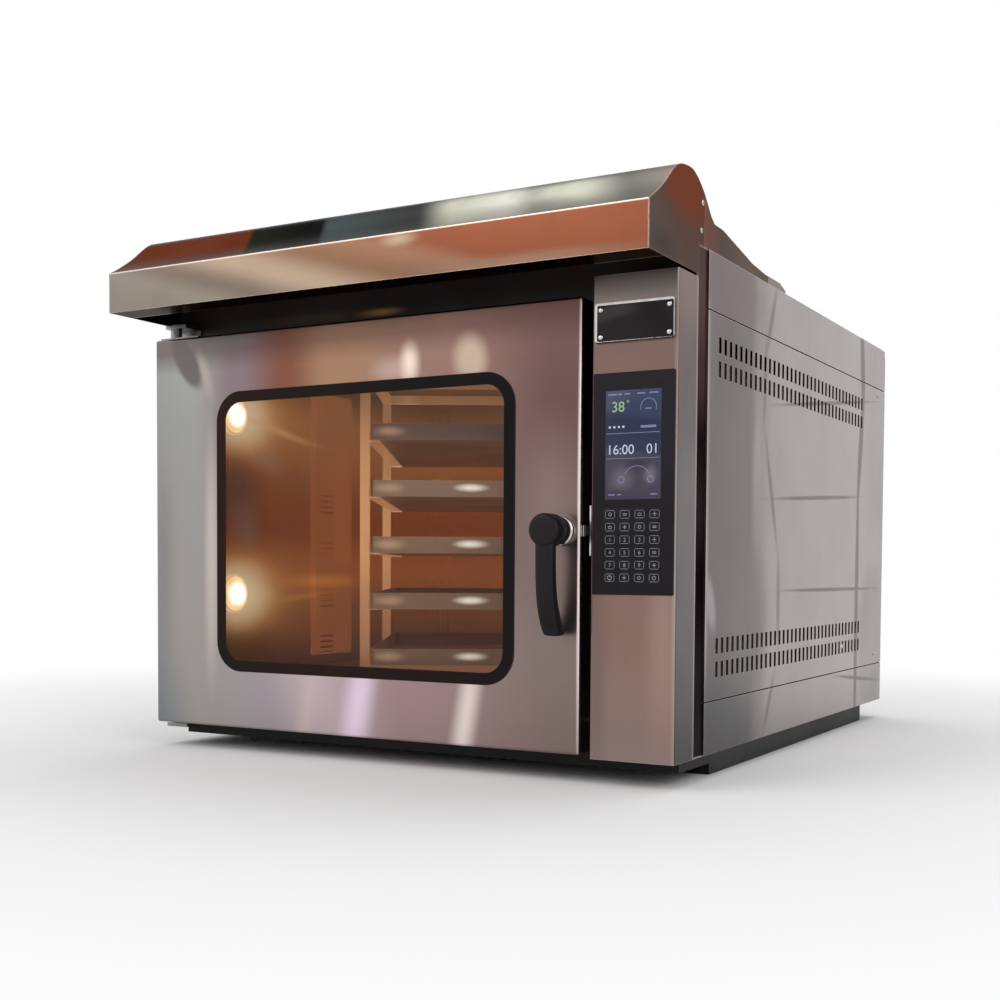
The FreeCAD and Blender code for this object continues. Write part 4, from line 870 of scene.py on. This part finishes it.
key_print = plain_finish("key_print", (168, 164, 170), (128, 124, 130), 0.4, scale=260.0)
key_frame = [(-6.2, 6.2, -5.7, -5.2), (-6.2, 6.2, 5.2, 5.7), (-7.4, -6.9, -4.4, 4.4), (6.9, 7.4, -4.4, 4.4)]
print_face, key_face = -3.79, -3.74
signed_keys = [(0, 0), (1, 0), (2, 0), (3, 0), (0, 1), (1, 1), (2, 1), (3, 1), (3, 2), (3, 3), (3, 4), (1, 5), (2, 5)]
signs = bmesh.new()
for x in key_columns:
    for z in key_rows:
        for left, right, low, high in key_frame:
            front_plate(signs, x + left, x + right, print_face, key_face, z + low, z + high, 0.15, 0)
for i in range(9):
    figures(signs, str(i + 1), key_columns[i % 3] - 1.7, key_rows[2 + i // 3] - 2.6, 5.4, key_face, 0.08)
for column, row in signed_keys:
    x, z = key_columns[column], key_rows[row]
    kind = (column + 2 * row) % 4
    if kind == 0:
        arc(signs, x, z, 2.2, 0.8, 0, 360, 14, print_face, key_face)
    elif kind == 1:
        for shift in (-1.6, 0.4):
            bar(signs, x - 3, z + shift, 6, 0.9, print_face, key_face)
    elif kind == 2:
        arc(signs, x, z - 1, 2.6, 0.8, 0, 180, 8, print_face, key_face)
        bar(signs, x - 2.8, z - 2.4, 5.6, 0.8, print_face, key_face)
    else:
        bar(signs, x - 2.9, z - 0.5, 5.8, 1.0, print_face, key_face)
        bar(signs, x - 0.5, z - 2.9, 1.0, 5.8, print_face, key_face)
arc(signs, key_columns[0], key_rows[5], 3.2, 1.0, 120, 420, 16, print_face, key_face)
bar(signs, key_columns[0] - 0.5, key_rows[5] + 0.6, 1.0, 3.6, print_face, key_face)
arc(signs, key_columns[3], key_rows[5], 2.6, 0.8, 0, 360, 14, print_face, key_face)
finish_piece("keypad_signs", signs, key_print, "casing")

# ---- Keeper and door switch --------------------------------------------------------------
# A zinc-coated plate on the column takes the latch cam. Below it a turned brass stud
# tells the control that the door is shut.

dress(chrome_trim, "keeper_plate")
brass = plain_finish("brass", (206, 168, 92), (150, 112, 58), 0.26, 1.0, scale=120.0)
plunger_profile = [(5, 0), (5, 9), (4.4, 9.6), (3.2, 9.6), (3.2, 12), (4.2, 12.6), (4.2, 19), (3.2, 21), (0, 21.6)]
stud = bmesh.new()
turned(stud, plunger_profile, (346.9, 68, 89), (0, -1, 0))
stud = finish_piece("door_switch_stud", stud, brass, "casing")
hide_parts("door_switch")

# ---- Cavity ----------------------------------------------------------------------------------
# Welded stainless liner, with the golden light of two lamps in its left wall painted on it as a glow.
# A louvred duct runs up that wall, and a baffle stands before the fan and its heater.

lamp_seats = [(-445, 155.5, 264.5), (-445, 155.5, 589.5)]
# Painted pools and streaks of lamp light, laid on the cavity's steel and made to glow.
lamp_glows = [
    ((x, y + reach * 0.25, z), (size, size + reach, size), tone, amount)
    for x, y, z in lamp_seats
    for size, reach, tone, amount in (
        (130, 160, (196, 130, 72), 0.6), (96, 70, (240, 188, 122), 0.9), (80, 44, (255, 232, 190), 1.0),
    )
] + [
    ((-440, 400, 286), (60, 240, 22), (206, 130, 62), 0.6),
    ((-440, 290, 572), (60, 150, 12), (226, 176, 112), 0.7, 0, (-10, 0, 0)),
    ((-440, 340, 254), (60, 130, 10), (196, 140, 74), 0.5, 0, (6, 0, 0)),
]
# Golden browns up the walls are painted lamp light, and the patches over them painted reflections and shade.
wall_tones = [
    (117, (80, 50, 40)), (218, (115, 70, 40)), (300, (145, 85, 45)), (400, (125, 65, 30)), (590, (150, 100, 55)),
    (680, (100, 70, 50)),
]


liner_paint = toned(
    (0, 0, 1), wall_tones,
    [
        ((316, 480, 460), (560, 520, 420), (88, 46, 36), 0.95),
        ((150, 961, 250), (260, 420, 150), (124, 60, 34), 0.85),
        ((120, 961, 560), (170, 420, 60), (112, 46, 42), 0.8, 0.2),
        ((-60, 961, 400), (60, 420, 420), (74, 48, 38), 0.7),
        ((120, 961, 400), (260, 420, 60), (108, 70, 52), 0.7, 0.2),
        ((-445, 140, 455), (40, 130, 100), (96, 66, 54), 0.85, 0.2, (12, 0, 0)),
        ((-445, 240, 520), (40, 90, 40), (146, 112, 100), 0.7, 0, (-12, 0, 0)),
        ((-445, 190, 385), (40, 60, 70), (116, 92, 84), 0.7, 0, (20, 0, 0)),
        ((-445, 150, 165), (60, 190, 60), (74, 52, 32), 0.9, 0.2),
        ((-445, 500, 610), (40, 40, 60), (150, 128, 112), 0.5),
    ],
)


def lit_steel(name, paint, stretch, level, depth=0.22, roughness=0.36):
    """Steel inside the cavity, with the light of the two lamps painted onto it and made to glow."""
    finish = sheet_finish(
        name, paint, stretch, depth=depth, roughness=roughness, edge=(196, 150, 104), edge_share=0.5
    )
    tree = finish.node_tree
    shader = tree.nodes["Principled BSDF"]
    spot = spot_on(tree)
    grain = put(tree, brushed_grain, {"Vector": spot, "Stretch": stretch, "Depth": depth * 1.5})
    tone = mixed(tree, 1.0, paint(tree, spot), grain["Shade"], "MULTIPLY")
    tree.links.new(patched(tree, spot, tone, lamp_glows), shader.inputs["Emission Color"])
    shader.inputs["Emission Strength"].default_value = level
    return finish


cavity_steel = lit_steel("cavity_steel", liner_paint, (40, 40, 300), 0.62)
dress(cavity_steel, "liner_walls", "liner_floor", "liner_ceiling", "liner_rear", "fan_baffle")

# The duct's golden tones are painted lamp light, made to glow.
duct_steel = lit_steel(
    "duct_steel", toned((0, 0, 1), [(140, (136, 82, 50)), (400, (142, 84, 46)), (656, (144, 96, 60))]),
    (300, 300, 20), 0.7,
)
dress(duct_steel, "air_duct")

heat_blued = plain_finish("heat_blued_alloy", (92, 84, 84), (118, 84, 62), 0.4, 1.0, scale=30.0)
dress(heat_blued, "heater_rings")
fan_steel = plain_finish("fan_steel", (142, 132, 122), (98, 82, 68), 0.32, 1.0, scale=18.0)
dress(fan_steel, "fan_wheel")
wool = plain_finish("mineral_wool_felt", (176, 168, 132), (128, 118, 84), 0.95, scale=90.0, depth=0.6)
dress(wool, "insulation")


def lens_paint(tree, spot):
    """White-hot over the bulb and golden towards the rim of the ribbed lens."""
    ribs = scaled(tree, noise(tree, spot, 60.0, 2.0), 0.0, 1.0)
    gold = mixed(tree, ribs, colour(226, 176, 114), colour(244, 204, 146))
    bulbs = [(seat, (60, 30, 27), (255, 252, 240), 1.0, 0.6) for seat in lamp_seats]
    return patched(tree, spot, gold, bulbs)


lamp_lens = lit_finish("lamp_lens", lens_paint, 1.4)
# The lamp rims glow with painted lamp light.
lamp_rim = lit_steel("lamp_rim", toned((0, 0, 1), [(230, (196, 142, 84)), (640, (206, 154, 96))]), (90, 90, 90), 0.7)
rim_profile = [(35, 0), (35, 3.5), (33.6, 5.2), (31.4, 5.6), (30.2, 4.8), (30.2, 0)]
lens_profile = [
    (30, 0.5), (30, 6), (28.4, 8.2), (24, 8.2), (22.6, 9.6), (17, 9.4), (15.6, 10.9), (9.4, 10.7), (8, 11.8),
    (0, 11.9),
]
lamp_rims, lamp_lenses = bmesh.new(), bmesh.new()
for seat in lamp_seats:
    turned(lamp_rims, rim_profile, seat, (1, 0, 0), steps=48)
    turned(lamp_lenses, lens_profile, seat, (1, 0, 0), steps=48)
finish_piece("lamp_rims", lamp_rims, lamp_rim, "casing")
lamp_lenses = finish_piece("lamp_lenses", lamp_lenses, lamp_lens, "casing")
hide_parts("lamps")

# ---- Motors and rack drive -----------------------------------------------------------------
# The gearmotor lies on the cavity's ceiling under the sloping cover and turns the rack's
# gear. The fan's motor stands behind the cavity.

motor_enamel = plain_finish("motor_enamel", (70, 82, 96), (54, 62, 74), 0.42, scale=150.0, depth=0.2)
dress(motor_enamel, "fan_motor", "gearmotor")
cut_gear = sheet_finish(
    "cut_gear", toned((0, 0, 1), [(740, (120, 118, 118)), (770, (150, 148, 146))]),
    (400, 400, 60), depth=0.3, roughness=0.34, edge=(210, 208, 204), edge_share=0.7,
)
dress(cut_gear, "rack_gear", "drive_pinion")

# ---- Flue and services -----------------------------------------------------------------------
# The flue collar of rolled stainless sheet stands on the cover. A stainless drain, a
# brass water inlet and a nylon cable gland are screwed through the rear.

pipe_steel = sheet_finish(
    "pipe_steel", toned((0, 1, 0.4), [(1000, (150, 146, 144)), (1600, (176, 172, 168))]),
    (60, 300, 60), depth=0.14, roughness=0.26,
)
dress(pipe_steel, "flue_collar", "drain_pipe")
dress(brass, "water_inlet")
gland_black = plain_finish("gland_black", (42, 42, 44), (30, 30, 31), 0.5, scale=220.0, depth=0.3)
dress(gland_black, "cable_gland")

# ---- Door ---------------------------------------------------------------------------------------
# A folded stainless shell with a double-glazed window in a black frame, hung on the
# left-hand pins. Its brushed face has soft, warm reflections painted on it.

# Painted reflections across the door's face, above and below the window.
door_upper_tones = [
    (-486, (150, 150, 150)), (-400, (155, 155, 150)), (-310, (130, 115, 120)), (-200, (125, 80, 65)),
    (-112, (155, 120, 95)), (100, (140, 110, 100)), (310, (105, 80, 80)),
]
door_lower_tones = [
    (-486, (120, 125, 130)), (-365, (155, 150, 145)), (-225, (160, 150, 155)), (-110, (190, 170, 175)),
    (60, (160, 135, 135)), (360, (130, 115, 110)),
]


def door_paint(tree, spot):
    """Painted reflections below the window and above it, painted shade from the hood along the top edge, and painted
    highlights and reflections over them.
    """
    above = shades(tree, spot, (1, 0, 0), door_upper_tones)
    below = shades(tree, spot, (1, 0, 0.25), door_lower_tones)
    tone = mixed(tree, past(tree, spot, "Z", 200, 560), below, above)
    # Painted shade from the hood along the top edge.
    tone = mixed(tree, past(tree, spot, "Z", 643, 678, 0.6), tone, colour(85, 60, 55))
    return patched(
        tree, spot, tone,
        [
            ((-350, 0, 690), (130, 40, 26), (106, 102, 104), 0.7),
            ((-372, 0, 636), (17, 40, 58), (166, 157, 148), 0.9, 0.1, (0, -20, 0)),
            ((-415, 0, 664), (26, 40, 66), (103, 98, 97), 0.95, 0.6, (0, -33, 0)),
            ((42, 0, 628), (26, 40, 46), (236, 216, 204), 0.95),
            ((12, 0, 622), (60, 40, 30), (200, 176, 166), 0.5),
            ((152, 0, 628), (40, 40, 50), (184, 164, 146), 0.9, 0.3, (0, -10, 0)),
            ((290, 0, 400), (70, 40, 170), (134, 114, 112), 0.85),
            ((-360, 0, 330), (22, 40, 290), (198, 183, 173), 0.85, 0.1),
            ((-470, 0, 330), (40, 40, 240), (134, 132, 133), 0.8),
            ((-60, 0, 60), (44, 40, 300), (240, 220, 240), 0.85, 0, (0, 10, 0)),
            ((-160, 0, 60), (26, 40, 300), (200, 185, 180), 0.6, 0, (0, 10, 0)),
            ((142, 0, 60), (30, 40, 300), (240, 225, 220), 0.9, 0, (0, 10, 0)),
            ((338, -1, 370), (6, 12, 500), (226, 216, 214), 0.95, 0.4),
        ],
    )


door_steel = sheet_finish(
    "door_steel", door_paint, (10, 600, 600), depth=0.08, roughness=0.3, edge=(214, 202, 198), edge_share=0.7
)
dress(door_steel, "door_skin")
dress(plain_steel, "door_back")

window_black, tree, shader, _ = new_finish("window_black")
spot = spot_on(tree)
# The black border's warm browns are painted reflections.
border_tones = [
    (-280, (24, 15, 12)), (-60, (36, 18, 12)), (150, (28, 16, 14)), (400, (14, 11, 13)), (540, (12, 10, 13)),
]
border = shades(tree, spot, (1, 0, 0.5), border_tones)
smears = noise(tree, spot, 9.0, 5.0, 0.6)
# A painted highlight along the border's edges.
edge_highlight = put(tree, painted_edge_highlight, {"Radius": 0.001})["Mask"]
behind = past(tree, spot, "Y", 5.4, 6)
coated = mixed(tree, edge_highlight, border, colour(70, 60, 60))
tree.links.new(mixed(tree, behind, coated, colour(150, 124, 100)), shader.inputs["Base Color"])
tree.links.new(behind, shader.inputs["Metallic"])
tree.links.new(scaled(tree, smears, 0.1, 0.3), shader.inputs["Roughness"])
shader.inputs["Specular IOR Level"].default_value = 0.1
dress(window_black, "window_frame")

window_pane, tree, shader, _ = new_finish("window_pane")
spot = spot_on(tree)
film = scaled(tree, noise(tree, spot, 4.0, 5.0, 0.6), 0.03, 0.1)
tree.links.new(film, shader.inputs["Alpha"])
tree.links.new(film, shader.inputs["Roughness"])
shader.inputs["Base Color"].default_value = colour(60, 44, 44)
dress(window_pane, "outer_glass", "inner_glass")

# ---- Door lever ------------------------------------------------------------------------------------
# A cranked lever moulded in black nylon over a steel spindle. Its round hub turns in a
# chromed collar on the door.

black_nylon = plain_finish("black_nylon", (24, 21, 24), (17, 15, 17), 0.36, scale=240.0, depth=0.12, shine=0.18)
hub_at = (308.955, -12.4, 368.5)
lever_stations = [
    (12, -50.5, 17, 30), (-22, -51.0, 17, 30), (-50, -51.0, 18, 29.5), (-76, -49.8, 19.5, 29), (-98, -46.5, 21, 29),
    (-116, -41.0, 23, 29), (-132, -33.5, 26, 29), (-144, -26.0, 27, 29), (-153, -22.5, 19, 29),
]


def lofted(form, centre_x, base_z, stations, corner):
    """A bar extruded from station to station: drop, middle y, thickness and width."""
    before = set(form.verts)
    drop, middle, thick, wide = stations[0]
    section = [(-0.5, -0.5), (0.5, -0.5), (0.5, 0.5), (-0.5, 0.5)]
    ring = [form.verts.new((centre_x + a * wide, middle + b * thick, base_z + drop)) for a, b in section]
    face = form.faces.new(ring)
    for drop, middle, thick, wide in stations[1:]:
        grown = bmesh.ops.extrude_face_region(form, geom=[face])
        # Only the first section stays, as the bar's end. The others would lie inside it.
        if face.is_valid and drop != stations[1][0]:
            bmesh.ops.delete(form, geom=[face], context="FACES_ONLY")
        face = next(item for item in grown["geom"] if isinstance(item, bmesh.types.BMFace))
        heart = face.calc_center_median()
        for vert in face.verts:
            a = math.copysign(0.5, vert.co.x - heart.x)
            b = math.copysign(0.5, vert.co.y - heart.y)
            vert.co = (centre_x + a * wide, middle + b * thick, base_z + drop)
    made = [vert for vert in form.verts if vert not in before]
    bmesh.ops.recalc_face_normals(form, faces=list({f for v in made for f in v.link_faces}))
    edges = list({e for v in made for e in v.link_edges if e.calc_face_angle(0) > math.radians(50)})
    bmesh.ops.bevel(form, geom=edges, offset=corner, affect="EDGES", segments=1, profile=0.5, material=-1)


lever = bmesh.new()
lofted(lever, hub_at[0], hub_at[2], lever_stations, 3.5)
lever = finish_piece("lever_grip", lever, black_nylon, "handle", sharp=100)
smooth = lever.modifiers.new("smooth", "SUBSURF")
smooth.levels = smooth.render_levels = 2
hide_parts("handle_lever")
hub_profile = [
    (20, 0.2), (20.8, 1.2), (20.8, 14), (20, 15.4), (20, 17.4), (23.2, 18.4), (24, 19.8), (24, 26.4), (23, 27.2),
    (22.6, 28.4), (23, 29.6), (24, 30.4), (24, 44), (22.8, 47.4), (20.4, 49.5), (17.6, 50), (0, 50),
]
hub = bmesh.new()
turned(hub, hub_profile, hub_at, (0, -1, 0), steps=56)
finish_piece("lever_hub", hub, black_nylon, "handle")

collar_profile = [(22.9, 0), (22.9, 5), (22.2, 8.6), (20.6, 10.6), (16.5, 11.8), (16.5, 6)]
collar = bmesh.new()
turned(collar, collar_profile, (hub_at[0], 0, hub_at[2]), (0, -1, 0), steps=56)
collar = finish_piece("lever_collar", collar, chrome_trim, "door")
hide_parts("handle_boss")
dress(chrome_trim, "handle_spindle")

# ---- Rack and trays --------------------------------------------------------------------------------
# A welded rack of stainless square bar hangs from a shaft. Five aluminium trays with
# turned-in rims sit on its runners, in painted shade behind their lighter fronts.

# The rack's golden tones are painted lamp light made to glow, with a painted highlight on a post and painted dark
# reflections behind.
rack_steel = lit_steel(
    "rack_steel",
    toned(
        (0, 0, 1), [(117, (150, 104, 76)), (400, (190, 136, 92)), (700, (160, 118, 84))],
        [
            ((-352, 597, 400), (60, 60, 700), (234, 194, 162), 0.95, 0.5),
            ((160, 230, 620), (330, 300, 90), (104, 66, 50), 0.95, 0.3),
            ((200, 600, 400), (360, 420, 420), (88, 54, 40), 0.9, 0.2),
            ((130, 500, 400), (20, 200, 300), (204, 124, 62), 0.7),
        ],
    ),
    (300, 300, 40), 0.6, depth=0.12,
)
dress(rack_steel, "rack_frame", "rack_runners", "rack_shaft")

tray_levels = [151.5 + 93.25 * level for level in range(5)]
# Painted highlights on each tray's front.
tray_shines = [
    ((57, 163, base + 15), (36, 40, 9), (238, 228, 210), 0.9, 0.1, (0, 0, 30)) for base in tray_levels[:4]
] + [
    ((-60, 96, base + 14), (36, 30, 12), (186, 152, 120), 0.6, 0, (0, 0, 30)) for base in tray_levels
]


# Behind the front face the trays are painted darker, as shade.
tray_inward = (-0.5, 0.866, 0)
tray_front_tones = [(150, (108, 83, 67)), (300, (115, 88, 69)), (480, (122, 98, 82)), (540, (92, 72, 62))]
tray_inner_tones = [(110, (110, 76, 56)), (300, (96, 64, 47)), (700, (78, 50, 38))]


def tray_paint(tree, spot):
    """Pressed fronts and rims, lighter and with painted highlights. The rest is in painted shade."""
    front = shades(tree, spot, (0, 0, 1), tray_front_tones)
    rest = shades(tree, spot, tray_inward, tray_inner_tones)
    depth = add(tree, "VectorMath", {0: spot, 1: tray_inward}, operation="DOT_PRODUCT").outputs["Value"]
    behind = add(tree, "MapRange", {"Value": depth, "From Min": 0.1145, "From Max": 0.1175}).outputs["Result"]
    return patched(tree, spot, mixed(tree, behind, front, rest), tray_shines)


tray_metal = lit_steel("tray_metal", tray_paint, (90, 90, 90), 0.55, depth=0.14, roughness=0.34)
dress(tray_metal, *["tray_%d" % (level + 1) for level in range(5)])
